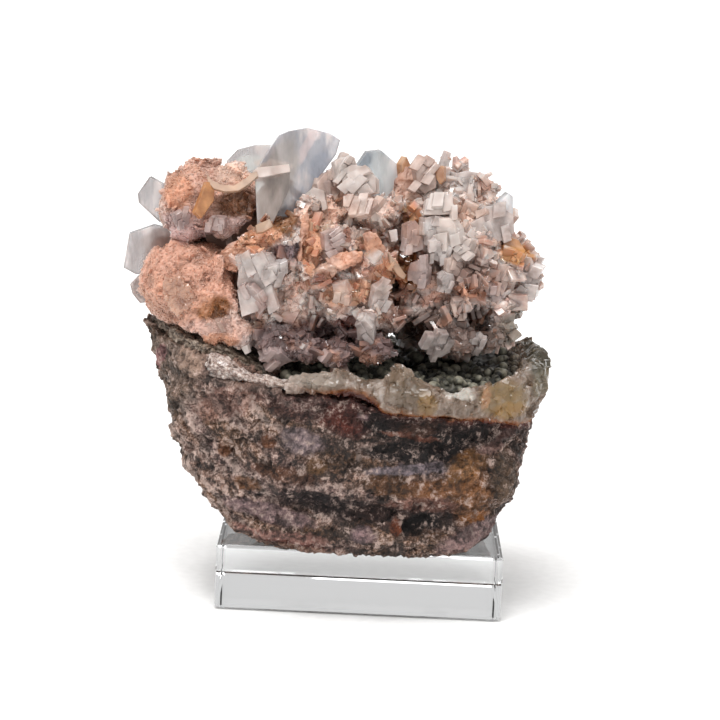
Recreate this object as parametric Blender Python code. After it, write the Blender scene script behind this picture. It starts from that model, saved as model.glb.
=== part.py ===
"""Baryte with fluorite: crystal masses on a banded matrix rock, resting on a clear acrylic block.

Lengths in this file are millimetres. Each finished mesh is scaled to metres at the end.
X runs to the right, Y away from the front face and Z up. The origin is the middle of the block's underside.
"""
import math
import random

import bmesh
import bpy
from mathutils import Matrix, Vector, noise
from mathutils.bvhtree import BVHTree

MM = 0.001
GAP = 0.3
SEED = 7
FLAT_ENOUGH = math.radians(0.2)

# Acrylic block
BLOCK_WIDTH = 42.0
BLOCK_DEPTH = 32.0
BLOCK_HEIGHT = 9.5
BLOCK_ARRIS = 0.4

# Matrix rock: plan outlines at rising heights, from the front left ridge anticlockwise seen from above
ROCK_BASE = BLOCK_HEIGHT + GAP
ROCK_OUTLINES = {
    9.8: [(-13, -16), (-8, -18.5), (2, -19.5), (10, -18.5), (14.5, -13), (15.5, -4),
          (13, 8), (4, 13), (-6, 13), (-12, 9), (-14.3, 1), (-14.3, -8)],
    12.0: [(-18, -16), (-10, -19.5), (2, -20.5), (12, -19), (17, -14), (18.5, -4),
           (16, 10), (5, 15), (-8, 15), (-16, 11), (-19.3, 1), (-19.3, -8)],
    17.0: [(-22, -16), (-12, -19.8), (2, -20.5), (13, -19), (19.5, -14), (22, -4),
           (19, 11), (6, 17), (-10, 17), (-20, 12), (-24, 1), (-24, -8)],
    22.0: [(-25, -15.5), (-14, -19.5), (2, -20), (14, -18.5), (20.5, -14), (22.8, -4),
           (20, 12), (7, 18.5), (-12, 18.5), (-23, 13), (-26.3, 1), (-26.3, -8)],
    28.0: [(-27.5, -15), (-15, -19.5), (2, -19.5), (14, -18), (22, -13), (24.8, -3),
           (22, 12), (8, 19.5), (-13, 19.5), (-25, 14), (-29.2, 2), (-29, -7)],
    33.0: [(-25.6, -17), (-15, -20), (0, -21), (14, -20), (23, -13.5), (25.8, -3),
           (23, 12), (8, 20), (-14, 20), (-27, 14), (-31, 2), (-30, -8)],
    41.0: [(-23.5, -18), (-15, -20), (0, -21), (14, -20), (24, -13), (26.3, -2),
           (24, 12), (9, 20), (-15, 20), (-29, 14), (-34.4, 1), (-31, -8)],
}
ROCK_AROUND = 42
ROCK_LEVELS = 11
ROCK_MIDDLE = Vector((-4.0, 0.0))
ROCK_SPARE_TOP = 0.8
ROCK_ROUGHNESS = 0.8
# Ledges and hollows of the rock's front: how far it stands out, lower and upper height, softness of the
# two edges, and where from left to right it starts and is at its full depth
ROCK_BANDS = [(-1.3, 25.0, 29.8, 0.9, -1.0, 4.0), (-0.8, 14.5, 17.3, 0.7, -14.0, -9.0),
              (0.8, 18.3, 21.0, 0.8, -40.0, -39.0)]
FOOT_LEDGE = (0.7, 10.6, 12.6, 0.5)
FOOT_LEDGE_WAVE = 1.3
FRONT_HOLLOW = (1.3, 8.0, 14.4, 3.0, 1.7)
RIGHT_COLUMN = (0.7, 20.0, 1.9, 16.5, 24.5)
LEFT_STRIAE_DEPTH = 0.45
LEFT_STRIAE_PITCH = 4.6
GRAIN_COARSE = 0.28
GRAIN_FINE = 0.62

# Top shelf of the rock, which the dark crust covers
SHELF_HEIGHT = 34.3
SHELF_STEP = 3.9
SHELF_RISE = 0.04
SHELF_LEFT_SLOPE = 0.15
SHELF_BUMP_HEIGHT = 4.0
SHELF_BUMP_PLACE = (24.0, 7.0)
CRUST_THICKNESS = 1.0
CRUST_INSET = 0.5
CRUST_LEVEL = 37.0
CRUST_AROUND = 30
CRUST_SHARES = (1.0, 0.8, 0.5)
CUTTER_REACH = 20.0
CUTTER_SPREAD = (1.35,)
SPHERULE_PITCH = 2.9
SPHERULE_RADIUS = 1.2
SPHERULE_FRONT = -6.0
SPHERULES_BEHIND = 0.14
SPHERULE_OPEN_VIEW = 28.0
SPHERULE_SIDES = 5
SPHERULE_APART = 0.12
SPHERULE_SUNK = 0.12

# Fluorite rim: heights of its lower and upper edge against the distance along it from its left end
RIM_THICKNESS = 3.4
RIM_PROUD = 0.2
RIM_STATIONS = 34
RIM_LEVEL = 34.5
RIM_POINTS = 240
RIM_FIRST = 4
RIM_LAST = 112
RIM_LOWER = [(0, 34.6), (6, 34.0), (14, 33.4), (20, 33.8), (27, 31.2), (35, 30.9), (42, 30.3), (49, 29.2),
             (57, 31.0), (63, 33.5)]
RIM_UPPER = [(0, 38.7), (3, 38.2), (7, 36.0), (13, 35.6), (17, 36.6), (20, 36.9), (23.5, 35.4), (26, 35.8),
             (29, 38.3), (32.5, 35.3), (37, 34.4), (41, 35.3), (46, 36.2), (52, 37.3), (58, 37.9), (63, 38.3)]
# Fluorite cubes that stand out of the rim: distance along the rim, height of the middle, edge, turn, lean
RIM_CUBES = [(29.2, 35.8, 3.2, 45, 44), (19.5, 35.4, 2.2, 20, 40), (13.0, 34.6, 1.8, 50, 30),
             (39.5, 33.4, 2.8, 12, 8), (43.3, 32.8, 2.8, 24, 14), (46.5, 34.6, 2.4, 8, 30),
             (36.0, 33.2, 2.0, 50, 30), (50.0, 34.0, 2.6, 30, 12)]
RIM_CUBE_SUNK = 0.38

# Baryte masses: round lumps as (x, y, z, half width, half depth, half height, plates strewn on it, roundness)
LEFT_LUMPS = [(-27.0, -6.0, 46.6, 7.6, 8.6, 6.6, 2, 2), (-22.0, -10.5, 43.6, 6.4, 6.0, 5.0, 0, 2),
              (-24.0, 7.4, 46.0, 9.2, 10.2, 7.6, 14, 1), (-23.0, -1.0, 43.0, 8.6, 11.0, 5.0, 0, 1)]
KNOB_LUMPS = [(-27.6, -5.0, 57.8, 4.4, 5.2, 6.2, 2, 2), (-21.0, -4.5, 58.2, 4.6, 5.2, 6.4, 1, 2),
              (-24.6, 2.4, 56.6, 6.8, 6.8, 6.6, 11, 1)]
CENTRE_LUMPS = [(-9.8, -7.4, 50.2, 9.4, 9.2, 9.4, 4, 1), (-3.2, -8.4, 46.2, 7.4, 8.0, 8.6, 3, 1),
                (-13.0, -9.0, 44.4, 6.8, 7.8, 7.0, 2, 1), (-7.0, 3.0, 53.0, 10.4, 9.0, 7.4, 12, 1),
                (-7.6, 10.2, 45.0, 12.4, 8.6, 9.4, 22, 1), (-0.6, -3.0, 52.6, 5.6, 7.4, 6.8, 3, 1),
                (-8.0, -2.0, 41.5, 9.5, 11.0, 6.5, 0, 1), (0.4, 4.0, 44.0, 6.0, 8.0, 8.5, 3, 1)]
RIGHT_LUMPS = [(12.4, -4.8, 51.0, 9.4, 8.8, 10.4, 3, 1), (10.6, -1.5, 58.8, 6.8, 7.0, 5.8, 8, 1),
               (18.8, -3.0, 49.2, 5.4, 7.6, 6.0, 5, 1), (7.6, -7.4, 46.4, 5.0, 6.2, 7.4, 0, 1),
               (13.0, 8.0, 48.4, 9.8, 9.0, 9.6, 22, 1), (13.0, 0.0, 42.0, 8.0, 9.0, 6.0, 0, 1),
               (7.6, 4.0, 44.0, 6.0, 8.0, 8.5, 2, 1)]
LUMP_ROUGHNESS = 0.9

# Clefts between neighbouring masses: a point on the cleft and the direction across it
CLEFT_LEFT_CENTRE = (Vector((-20.2, -14.0, 47.0)), Vector((1.0, 0.04, 0.28)))
CLEFT_CENTRE_RIGHT = (Vector((4.6, -14.0, 50.0)), Vector((1.0, 0.07, -0.05)))
CLEFT_LEFT_KNOB = (Vector((-25.0, 0.0, 52.7)), Vector((0.1, -0.06, 1.0)))
CLEFT_KNOB_CENTRE = (Vector((-18.9, 0.0, 56.0)), Vector((1.0, 0.05, -0.9)))

# Large plates are outlines of (x, z) as seen from the front, with the depth y of the middle, the thickness,
# the turn about the upright and the lean of the top away from the front
PLATE_OUTLINES = {
    "left": [
        (-13.6, 1.2, 8, -14, [(-30.1, 48.7), (-27.8, 48.6), (-25.6, 46.2), (-25.3, 44.0), (-26.0, 41.2),
                              (-29.0, 43.4), (-30.2, 46.0)]),
        (-1.5, 1.6, 0, 0, [(-33.0, 46.8), (-34.9, 46.4), (-36.0, 45.2), (-35.6, 43.8), (-34.4, 42.4),
                           (-31.0, 43.0)]),
        (-14.6, 1.0, 60, -20, [(-24.4, 45.6), (-21.6, 45.6), (-21.4, 42.0), (-24.0, 41.4)]),
        (-12.6, 1.0, -55, 20, [(-24.0, 51.6), (-20.6, 52.2), (-20.8, 47.6), (-23.6, 47.2)]),
    ],
    "knob": [
        (-10.2, 1.3, 30, 12, [(-24.6, 62.2), (-23.4, 61.6), (-23.8, 58.4), (-25.6, 56.6), (-26.8, 57.8)]),
        (-9.2, 1.5, -12, 30, [(-24.8, 62.8), (-23.2, 61.0), (-20.6, 60.6), (-18.6, 61.8), (-17.8, 63.4),
                              (-19.6, 64.0), (-23.6, 64.2)]),
        (-9.6, 1.1, 25, -25, [(-27.8, 56.6), (-25.2, 57.0), (-24.6, 53.8), (-27.4, 53.4)]),
        (-9.0, 1.1, -20, -20, [(-22.6, 57.8), (-19.2, 58.2), (-18.8, 54.6), (-22.2, 54.2)]),
    ],
    "centre": [
        (-16.2, 1.4, -6, -6, [(-20.3, 51.7), (-15.9, 53.7), (-15.2, 48.1), (-15.1, 45.4), (-16.3, 44.5),
                              (-18.7, 45.0)]),
        (-15.0, 1.2, 42, -16, [(-2.0, 54.3), (2.0, 52.9), (1.6, 50.3), (-1.2, 47.5), (-3.0, 50.4)]),
        (-14.4, 1.3, 14, -10, [(1.2, 54.2), (2.6, 53.4), (4.8, 50.2), (4.1, 49.4), (1.2, 51.8)]),
        (-14.4, 1.2, -34, 26, [(-9.8, 57.6), (-5.2, 57.8), (-4.8, 53.4), (-9.2, 52.6)]),
        (-14.2, 1.1, 30, 20, [(-5.0, 57.6), (-1.2, 56.6), (-1.4, 53.0), (-4.8, 52.4)]),
        (-15.4, 1.2, -58, 10, [(-14.2, 56.4), (-10.4, 56.4), (-10.4, 51.4), (-14.0, 51.0)]),
        (-12.6, 1.3, 16, 40, [(-21.0, 54.0), (-18.6, 56.4), (-14.8, 58.4), (-13.6, 56.8), (-17.2, 53.4),
                              (-20.0, 52.6)]),
        (-15.2, 1.4, 24, -30, [(-2.6, 46.4), (0.8, 46.0), (1.2, 41.2), (-2.2, 40.8)]),
        (-15.8, 1.2, -30, -34, [(-8.2, 44.2), (-4.6, 44.0), (-4.8, 39.6), (-8.0, 39.2)]),
        (-15.6, 1.3, 12, -36, [(-15.2, 43.6), (-11.6, 43.4), (-11.6, 38.6), (-14.6, 38.2)]),
        (-16.0, 1.8, 50, -20, [(-11.6, 41.8), (-8.6, 40.4), (-9.0, 38.4), (-11.8, 39.2)]),
        (-7.4, 1.2, 30, 12, [(-8.4, 62.8), (-5.2, 63.4), (-4.4, 59.2), (-8.2, 58.6)]),
        (-6.8, 1.2, -24, 6, [(-4.4, 62.6), (-1.6, 63.4), (-0.4, 61.4), (-0.8, 57.8), (-3.8, 57.6)]),
        (-10.8, 1.1, -62, 24, [(-12.6, 60.8), (-8.4, 61.2), (-8.6, 56.8), (-12.4, 56.4)]),
    ],
    "right": [
        (-9.6, 2.4, 8, 22, [(7.4, 61.4), (10.4, 61.8), (11.3, 59.3), (10.4, 56.8), (7.2, 56.4), (6.8, 58.4)]),
        (-2.4, 1.4, 20, 0, [(8.4, 64.8), (9.9, 67.3), (10.9, 66.8), (10.2, 61.6), (8.6, 61.6)]),
        (-1.0, 1.4, -30, 0, [(10.6, 64.6), (12.4, 66.0), (13.4, 65.1), (12.2, 61.6), (10.6, 61.6)]),
        (-3.4, 1.1, 6, 14, [(10.6, 62.4), (12.4, 64.2), (15.4, 63.8), (15.9, 62.0), (15.4, 59.2),
                            (11.2, 59.2)]),
        (-4.6, 1.6, -34, 4, [(5.4, 63.2), (8.4, 64.4), (8.6, 60.2), (5.6, 59.6)]),
        (-8.4, 1.2, 52, 16, [(4.6, 60.4), (8.0, 60.6), (7.6, 56.4), (4.8, 56.0)]),
        (-12.8, 1.6, -12, 6, [(8.0, 56.0), (13.6, 56.8), (14.2, 52.4), (9.0, 51.6)]),
        (-11.8, 1.4, 30, -8, [(5.2, 52.2), (9.0, 52.4), (8.8, 47.6), (5.6, 47.2)]),
        (-12.6, 1.5, -10, -18, [(12.4, 51.0), (16.8, 50.6), (16.4, 46.2), (12.8, 46.2)]),
        (-12.4, 1.4, 24, -28, [(8.6, 46.4), (12.2, 46.2), (12.4, 40.6), (9.2, 40.2)]),
        (-11.4, 1.3, -36, -26, [(13.2, 45.2), (16.6, 45.0), (16.6, 40.4), (13.4, 40.4)]),
        (-9.6, 1.4, 16, -22, [(17.0, 47.0), (20.4, 46.8), (20.0, 42.0), (17.2, 42.2)]),
        (-9.4, 1.6, -30, 8, [(17.8, 53.6), (21.8, 53.4), (22.0, 49.8), (18.2, 49.4)]),
        (-6.2, 1.6, 14, 0, [(21.0, 52.8), (23.6, 52.6), (25.4, 50.6), (24.9, 48.4), (21.6, 47.6)]),
        (-5.6, 1.4, -20, -12, [(20.6, 48.2), (23.6, 47.6), (23.2, 45.4), (21.2, 43.6)]),
        (-6.4, 1.4, 40, 12, [(14.4, 60.4), (18.2, 60.2), (18.4, 56.6), (14.8, 56.2)]),
    ],
}
SCATTER_LENGTH = (1.5, 2.9)
SCATTER_WIDTH = (3.2, 5.8)
SCATTER_THICKNESS = (0.8, 1.5)
SCATTER_SUNK = 1.4

# Large blades that stand clear, written as the plates above
BLADES = {
    "blade_tall": (-2.8, 2.2, 5, 4, [(-17.8, 63.4), (-14.8, 68.4), (-13.3, 69.1), (-10.6, 69.8), (-7.3, 69.1),
                                     (-5.7, 68.2), (-6.3, 66.0), (-9.9, 60.6), (-12.6, 56.4), (-17.2, 57.0)]),
    "blade_back": (3.4, 1.5, -6, 2, [(-22.6, 63.6), (-21.0, 65.4), (-18.5, 66.2), (-15.5, 66.4),
                                     (-14.4, 62.0), (-15.6, 57.4), (-21.4, 57.4)]),
    "blade_grey": (-1.2, 2.8, 8, 2, [(-3.2, 64.4), (-1.9, 66.5), (0.2, 66.8), (1.3, 65.9), (2.8, 64.8),
                                     (3.2, 63.0), (2.0, 57.0), (-2.2, 57.0)]),
    "blade_left_upper": (-2.4, 1.6, -6, 0, [(-33.5, 61.4), (-35.2, 58.8), (-35.0, 57.5), (-31.8, 54.8),
                                            (-28.4, 55.4), (-29.4, 59.4)]),
    "blade_left_lower": (-2.4, 1.8, 4, 0, [(-36.3, 52.9), (-37.1, 47.8), (-35.2, 46.9), (-30.4, 46.8),
                                           (-28.8, 50.4), (-30.6, 53.9), (-32.7, 54.3), (-34.2, 53.7)]),
    "blade_cream": (-8.4, 2.0, 4, 8, [(-17.9, 63.4), (-12.8, 64.8), (-12.8, 61.1), (-14.0, 58.4),
                                      (-15.4, 55.2), (-17.2, 55.2)]),
    "blade_white": (-5.8, 1.9, 16, 0, [(17.4, 57.1), (17.7, 60.6), (19.0, 61.9), (19.7, 61.4), (19.9, 57.6),
                                       (18.8, 53.4), (17.0, 53.4)]),
}
BLADE_CHAMFER = 0.32

COLOURS = {
    "acrylic": (0.93, 0.95, 0.96),
    "matrix": (0.27, 0.21, 0.18),
    "fluorite": (0.55, 0.46, 0.30),
    "crust": (0.07, 0.08, 0.07),
    "stained baryte": (0.62, 0.33, 0.20),
    "pink baryte": (0.52, 0.42, 0.38),
    "clear baryte": (0.60, 0.64, 0.68),
}


def wipe_scene():
    for thing in list(bpy.data.objects):
        bpy.data.objects.remove(thing, do_unlink=True)


def make_material(name, colour, roughness, transmission=0.0, ior=1.5):
    material = bpy.data.materials.new(name)
    material.use_nodes = True
    shader = material.node_tree.nodes["Principled BSDF"]
    shader.inputs["Base Color"].default_value = (*colour, 1.0)
    shader.inputs["Roughness"].default_value = roughness
    shader.inputs["Metallic"].default_value = 0.0
    shader.inputs["Transmission Weight"].default_value = transmission
    shader.inputs["IOR"].default_value = ior
    return material


def smoothstep(start, end, value):
    share = min(1.0, max(0.0, (value - start) / (end - start)))
    return share * share * (3.0 - 2.0 * share)


def along_knots(knots, place):
    """Read a value between the two knots, given as (place, value), that hold the place."""
    if place <= knots[0][0]:
        return knots[0][1]
    for (before, low), (after, high) in zip(knots, knots[1:]):
        if place <= after:
            return low + (high - low) * (place - before) / (after - before)
    return knots[-1][1]


def closed_spline(corners, count):
    """Return count points on a smooth closed curve through the corners."""
    total = len(corners)
    points = []
    for step in range(count):
        place = step * total / count
        index = int(place)
        share = place - index
        a, b, c, d = (Vector(corners[(index + k) % total]) for k in (-1, 0, 1, 2))
        points.append(0.5 * ((2 * b) + (c - a) * share + (2 * a - 5 * b + 4 * c - d) * share ** 2
                             + (3 * b - a - 3 * c + d) * share ** 3))
    return points


def rock_outline(height, count=ROCK_AROUND):
    levels = sorted(ROCK_OUTLINES)
    below = max([level for level in levels if level <= height], default=levels[0])
    above = min([level for level in levels if level > height], default=levels[-1])
    share = 0.0 if above == below else (height - below) / (above - below)
    corners = [Vector(low).lerp(Vector(high), share)
               for low, high in zip(ROCK_OUTLINES[below], ROCK_OUTLINES[above])]
    return closed_spline(corners, count)


def shelf_height(x, y):
    """Height of the dark crust's top: low at the right, a step up at the left, a bump at the back right."""
    height = SHELF_HEIGHT + SHELF_STEP * smoothstep(-14.0, -20.0, x)
    height += SHELF_LEFT_SLOPE * max(0.0, -20.0 - x) + SHELF_RISE * (y + 17.0)
    bump_x, bump_y = SHELF_BUMP_PLACE
    return height + SHELF_BUMP_HEIGHT * math.exp(-((x - bump_x) / 5.0) ** 2 - ((y - bump_y) / 6.0) ** 2)


def rock_top(x, y):
    return shelf_height(x, y) - CRUST_THICKNESS - GAP


def band(height, low, high, softness):
    risen = smoothstep(low - softness, low + softness, height)
    return risen * (1.0 - smoothstep(high - softness, high + softness, height))


def rock_relief(x, y, z):
    """How far the rock's side stands out at a place: the bands' ledges and hollows, grooves and grain."""
    front = smoothstep(-9.0, -14.0, y)
    left = smoothstep(-18.0, -24.0, x)
    relief = 0.0
    for depth, low, high, softness, start, full in ROCK_BANDS:
        relief += depth * front * band(z, low, high, softness) * smoothstep(start, full, x)
    depth, low, high, softness = FOOT_LEDGE
    relief += depth * front * band(z, low, high, softness) * (0.5 + 0.5 * math.sin(FOOT_LEDGE_WAVE * x))
    depth, middle_x, middle_z, half_width, half_height = FRONT_HOLLOW
    relief -= (depth * front * math.exp(-((x - middle_x) / half_width) ** 2)
               * math.exp(-((z - middle_z) / half_height) ** 2))
    depth, middle_x, half_width, low, high = RIGHT_COLUMN
    relief += (depth * smoothstep(0.0, -12.0, y) * math.exp(-((x - middle_x) / half_width) ** 2)
               * band(z, low, high, 1.0))
    relief += LEFT_STRIAE_DEPTH * left * math.sin(2.0 * math.pi * (0.35 * y + 0.94 * z) / LEFT_STRIAE_PITCH)
    place = Vector((x, y, z))
    grain = noise.noise(place * GRAIN_COARSE) + 0.6 * noise.noise(place * GRAIN_FINE)
    return relief + ROCK_ROUGHNESS * grain


def mesh_from(points, faces):
    mesh = bpy.data.meshes.new("shape")
    mesh.from_pydata([tuple(point) for point in points], [], faces)
    shape = bmesh.new()
    shape.from_mesh(mesh)
    bmesh.ops.recalc_face_normals(shape, faces=shape.faces)
    bmesh.ops.triangulate(shape, faces=shape.faces)
    shape.to_mesh(mesh)
    shape.free()
    return mesh


def add_object(name, mesh):
    thing = bpy.data.objects.new(name, mesh)
    bpy.context.scene.collection.objects.link(thing)
    return thing


def drop(thing):
    bpy.data.objects.remove(thing, do_unlink=True)


def combine(body, other, operation):
    """Boolean the other object into the body, and leave only the body."""
    modifier = body.modifiers.new("combine", "BOOLEAN")
    modifier.object = other
    modifier.operation = operation
    modifier.solver = "EXACT"
    settled = body.evaluated_get(bpy.context.evaluated_depsgraph_get())
    mesh = bpy.data.meshes.new_from_object(settled)
    body.modifiers.clear()
    body.data = mesh
    drop(other)
    return body


def stack_rings(rings, cap_first, cap_last, mirrored_from=None):
    """Skin a stack of closed rings of equal length, and close each end with a fan about its middle point.

    From the level mirrored_from on, the quads are split along their other diagonal."""
    count = len(rings[0])
    points = [point for ring in rings for point in ring]
    faces = []
    for level in range(len(rings) - 1):
        mirrored = mirrored_from is not None and level >= mirrored_from
        for step in range(count):
            after = (step + 1) % count
            low, low_after = level * count + step, level * count + after
            high, high_after = low + count, low_after + count
            if mirrored:
                faces += [(low, low_after, high), (low_after, high_after, high)]
            else:
                faces += [(low, low_after, high_after), (low, high_after, high)]
    for ring_start, middle in ((0, cap_first), ((len(rings) - 1) * count, cap_last)):
        hub = len(points)
        points.append(middle)
        for step in range(count):
            faces.append((ring_start + step, ring_start + (step + 1) % count, hub))
    return mesh_from(points, faces)


def outward(ring, index):
    ahead = ring[(index + 1) % len(ring)]
    behind = ring[index - 1]
    side = ahead - behind
    return Vector((side.y, -side.x)).normalized()


def build_rock():
    """The rock's side as a stack of rings, left tall enough for the shelf to be cut into its top."""
    rings = []
    rim_ring = rock_outline(36.0)
    for level in range(ROCK_LEVELS + 1):
        share = level / ROCK_LEVELS
        ring = []
        for index in range(ROCK_AROUND):
            edge = rim_ring[index]
            height = ROCK_BASE + share * (rock_top(edge.x, edge.y) + ROCK_SPARE_TOP - ROCK_BASE)
            plan = rock_outline(height)
            place = plan[index]
            reach = rock_relief(place.x, place.y, height) * smoothstep(-0.02, 0.1, share)
            place = place + outward(plan, index) * reach
            ring.append(Vector((place.x, place.y, height)))
        rings.append(ring)
    low = Vector((*ROCK_MIDDLE, ROCK_BASE))
    high = Vector((*ROCK_MIDDLE, rock_top(*ROCK_MIDDLE) + 5.0))
    return stack_rings(rings, low, high)


def build_crust_sheet(top=0.0, bottom=-CRUST_THICKNESS, spread=()):
    """The crust's layer on the shelf. Other heights and a wider ring make the cutters that clear it."""
    edge_ring = rock_outline(CRUST_LEVEL, CRUST_AROUND)
    shares = (*spread, *CRUST_SHARES)
    rings = [crust_ring(edge_ring, share, bottom) for share in shares[::-1]]
    rings += [crust_ring(edge_ring, share, top) for share in shares]
    middle = Vector((*ROCK_MIDDLE, shelf_height(*ROCK_MIDDLE)))
    return stack_rings(rings, middle + Vector((0, 0, bottom)), middle + Vector((0, 0, top)), len(shares))


def crust_ring(edge_ring, share, lift):
    ring = []
    for index, edge in enumerate(edge_ring):
        place = ROCK_MIDDLE.lerp(edge - outward(edge_ring, index) * CRUST_INSET, share)
        ring.append(Vector((place.x, place.y, shelf_height(place.x, place.y) + lift)))
    return ring


def rim_path():
    """Points and outward directions along the rock's front and right top edge, with the distance to each."""
    ring = rock_outline(RIM_LEVEL, RIM_POINTS)
    points = []
    travelled = 0.0
    for step in range(RIM_STATIONS):
        place = RIM_FIRST + (RIM_LAST - RIM_FIRST) * step / (RIM_STATIONS - 1)
        index = int(place)
        here = ring[index].lerp(ring[index + 1], place - index)
        if points:
            travelled += (here - points[-1][0]).length
        points.append((here, outward(ring, index), travelled))
    return points


def rim_section(here, way, travelled, grow, below):
    low = along_knots(RIM_LOWER, travelled)
    high = along_knots(RIM_UPPER, travelled)
    wobble = 0.5 * noise.noise(Vector((travelled * 0.55, 3.0, 1.0)))
    jag = 0.35 * noise.noise(Vector((travelled * 1.3, 9.0, 4.0)))
    outer = RIM_PROUD + wobble
    inner = RIM_PROUD - RIM_THICKNESS
    middle = 0.5 * (low + high)
    profile = [(inner, low), (outer - 0.5, low), (outer + 0.5, middle),
               (outer - 0.2, high - 0.8 + jag), (outer - 1.3, high + jag), (inner, high - 1.5)]
    if grow > 0:
        profile = [(inner - grow, low - below), (outer + 4.0, low - below), (outer + 4.0, high + 9.0),
                   (outer, high + 9.0), (outer - 1.3, high + 9.0), (inner - grow, high + 9.0)]
    return [Vector((here.x + way.x * out, here.y + way.y * out, up)) for out, up in profile]


def sweep(sections):
    """Skin a row of open-ended sections of equal length, and close its two ends."""
    count = len(sections[0])
    points = [point for section in sections for point in section]
    faces = []
    for row in range(len(sections) - 1):
        for step in range(count):
            after = (step + 1) % count
            faces.append((row * count + step, row * count + after,
                          (row + 1) * count + after, (row + 1) * count + step))
    faces.append(tuple(range(count)))
    faces.append(tuple(range((len(sections) - 1) * count, len(points))))
    return mesh_from(points, faces)


def cube_mesh(middle, edge, turn, lean):
    shape = bmesh.new()
    bmesh.ops.create_cube(shape, size=edge)
    place = (Matrix.Translation(middle) @ Matrix.Rotation(math.radians(turn), 4, "Z")
             @ Matrix.Rotation(math.radians(lean), 4, "X"))
    bmesh.ops.transform(shape, matrix=place, verts=shape.verts)
    mesh = bpy.data.meshes.new("cube")
    shape.to_mesh(mesh)
    shape.free()
    return mesh


def build_rim(grow=0.0, below=GAP):
    path = rim_path()
    sections = [rim_section(here, way, travelled, grow, below) for here, way, travelled in path]
    for end, neighbour in ((0, 1), (-1, -2)):
        away = (path[end][0] - path[neighbour][0]).normalized().to_3d() * grow
        sections[end] = [point + away for point in sections[end]]
    rim = add_object("rim", sweep(sections))
    if grow > 0:
        return rim
    for along, height, edge, turn, lean in RIM_CUBES:
        here, way, _ = min(path, key=lambda station: abs(station[2] - along))
        seat = here + way * (RIM_PROUD - RIM_CUBE_SUNK * edge)
        middle = Vector((seat.x, seat.y, height))
        facing = math.degrees(math.atan2(way.y, way.x))
        cube = add_object("cube", cube_mesh(middle, edge, facing + turn, lean))
        combine(rim, cube, "UNION")
    return combine(rim, rim_core(), "DIFFERENCE")


def rim_core():
    """A prism inside the rim's inner wall, which trims what its cubes show there."""
    ring = rock_outline(RIM_LEVEL, RIM_POINTS // 2)
    inset = RIM_THICKNESS - RIM_PROUD + 0.05
    low = RIM_LEVEL - CUTTER_REACH
    high = RIM_LEVEL + CUTTER_REACH
    inner = [edge - outward(ring, index) * inset for index, edge in enumerate(ring)]
    rings = [[Vector((*edge, height)) for edge in inner] for height in (low, high)]
    return add_object("core", stack_rings(rings, Vector((*ROCK_MIDDLE, low)), Vector((*ROCK_MIDDLE, high))))


def lump_mesh(lump, seed):
    x, y, z, half_x, half_y, half_z, _, roundness = lump
    shape = bmesh.new()
    bmesh.ops.create_icosphere(shape, subdivisions=roundness, radius=1.0)
    offset = Vector((seed * 3.1, seed * 1.7, seed * 2.3))
    for vertex in shape.verts:
        way = vertex.co.copy()
        place = Vector((x + way.x * half_x, y + way.y * half_y, z + way.z * half_z))
        push = noise.noise(place * 0.30 + offset) + 0.5 * noise.noise(place * 0.7 + offset)
        vertex.co = place + way * (LUMP_ROUGHNESS * push)
    mesh = bpy.data.meshes.new("lump")
    shape.to_mesh(mesh)
    shape.free()
    return mesh


def growth_frame(root, way, turn):
    """A matrix whose Z is the growth direction and whose Y is the plate's broad normal."""
    up = Vector(way).normalized()
    face = Vector((0.0, -1.0, 0.0))
    face = face - up * face.dot(up)
    if face.length < 0.2:
        face = Vector((1.0, 0.0, 0.0)) - up * up.x
    face.normalize()
    side = face.cross(up)
    frame = Matrix((side, face, up)).transposed().to_4x4()
    frame.translation = Vector(root)
    return frame @ Matrix.Rotation(math.radians(turn), 4, "Z")


def spread_outline(outline, distance):
    """Move each corner of a convex outline outwards so that its edges shift by the distance."""
    middle = sum((Vector(corner) for corner in outline), Vector((0, 0))) / len(outline)
    moved = []
    for index, corner in enumerate(outline):
        here = Vector(corner)
        before = (here - Vector(outline[index - 1])).normalized()
        after = (Vector(outline[(index + 1) % len(outline)]) - here).normalized()
        normal = Vector((before.y + after.y, -before.x - after.x)).normalized()
        if normal.dot(here - middle) < 0:
            normal = -normal
        corner_cosine = max(0.5, abs(normal.dot(Vector((after.y, -after.x)))))
        moved.append(here + normal * distance / corner_cosine)
    return moved


def plate_mesh(depth, thickness, turn, lean, outline, grow=0.0):
    """A tabular crystal: its outline at mid thickness and smaller broad faces, so its edge is a chisel."""
    broad = spread_outline(outline, grow - BLADE_CHAMFER * thickness)
    girdle = spread_outline(outline, grow)
    layers = [(-0.5 * thickness - grow, broad), (0.0, girdle), (0.5 * thickness + grow, broad)]
    middle = sum((Vector(corner) for corner in outline), Vector((0, 0))) / len(outline)
    turning = Matrix.Rotation(math.radians(turn), 4, "Z") @ Matrix.Rotation(math.radians(-lean), 4, "X")
    points = []
    for offset, corners in layers:
        for corner in corners:
            local = Vector((corner.x - middle.x, offset, corner.y - middle.y))
            points.append(turning @ local + Vector((middle.x, depth, middle.y)))
    count = len(outline)
    faces = [tuple(range(count)), tuple(range(2 * count, 3 * count))]
    for layer in (0, 1):
        for step in range(count):
            after = (step + 1) % count
            faces.append((layer * count + step, layer * count + after,
                          (layer + 1) * count + after, (layer + 1) * count + step))
    return mesh_from(points, faces)


def simple_plate(root, way, turn, length, width, thickness):
    """A small tabular crystal with square edges and one cut corner, its foot sunk behind the root."""
    half = 0.5 * width
    outline = [(-half, -SCATTER_SUNK), (half, -SCATTER_SUNK), (half, 0.72 * length), (0.45 * half, length),
               (-half, length)]
    points = [Vector((across, side * 0.5 * thickness, up)) for side in (-1, 1) for across, up in outline]
    count = len(outline)
    faces = [tuple(range(count)), tuple(range(count, 2 * count))]
    for step in range(count):
        after = (step + 1) % count
        faces.append((step, after, count + after, count + step))
    frame = growth_frame(root, way, turn)
    return mesh_from([frame @ point for point in points], faces)


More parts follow.
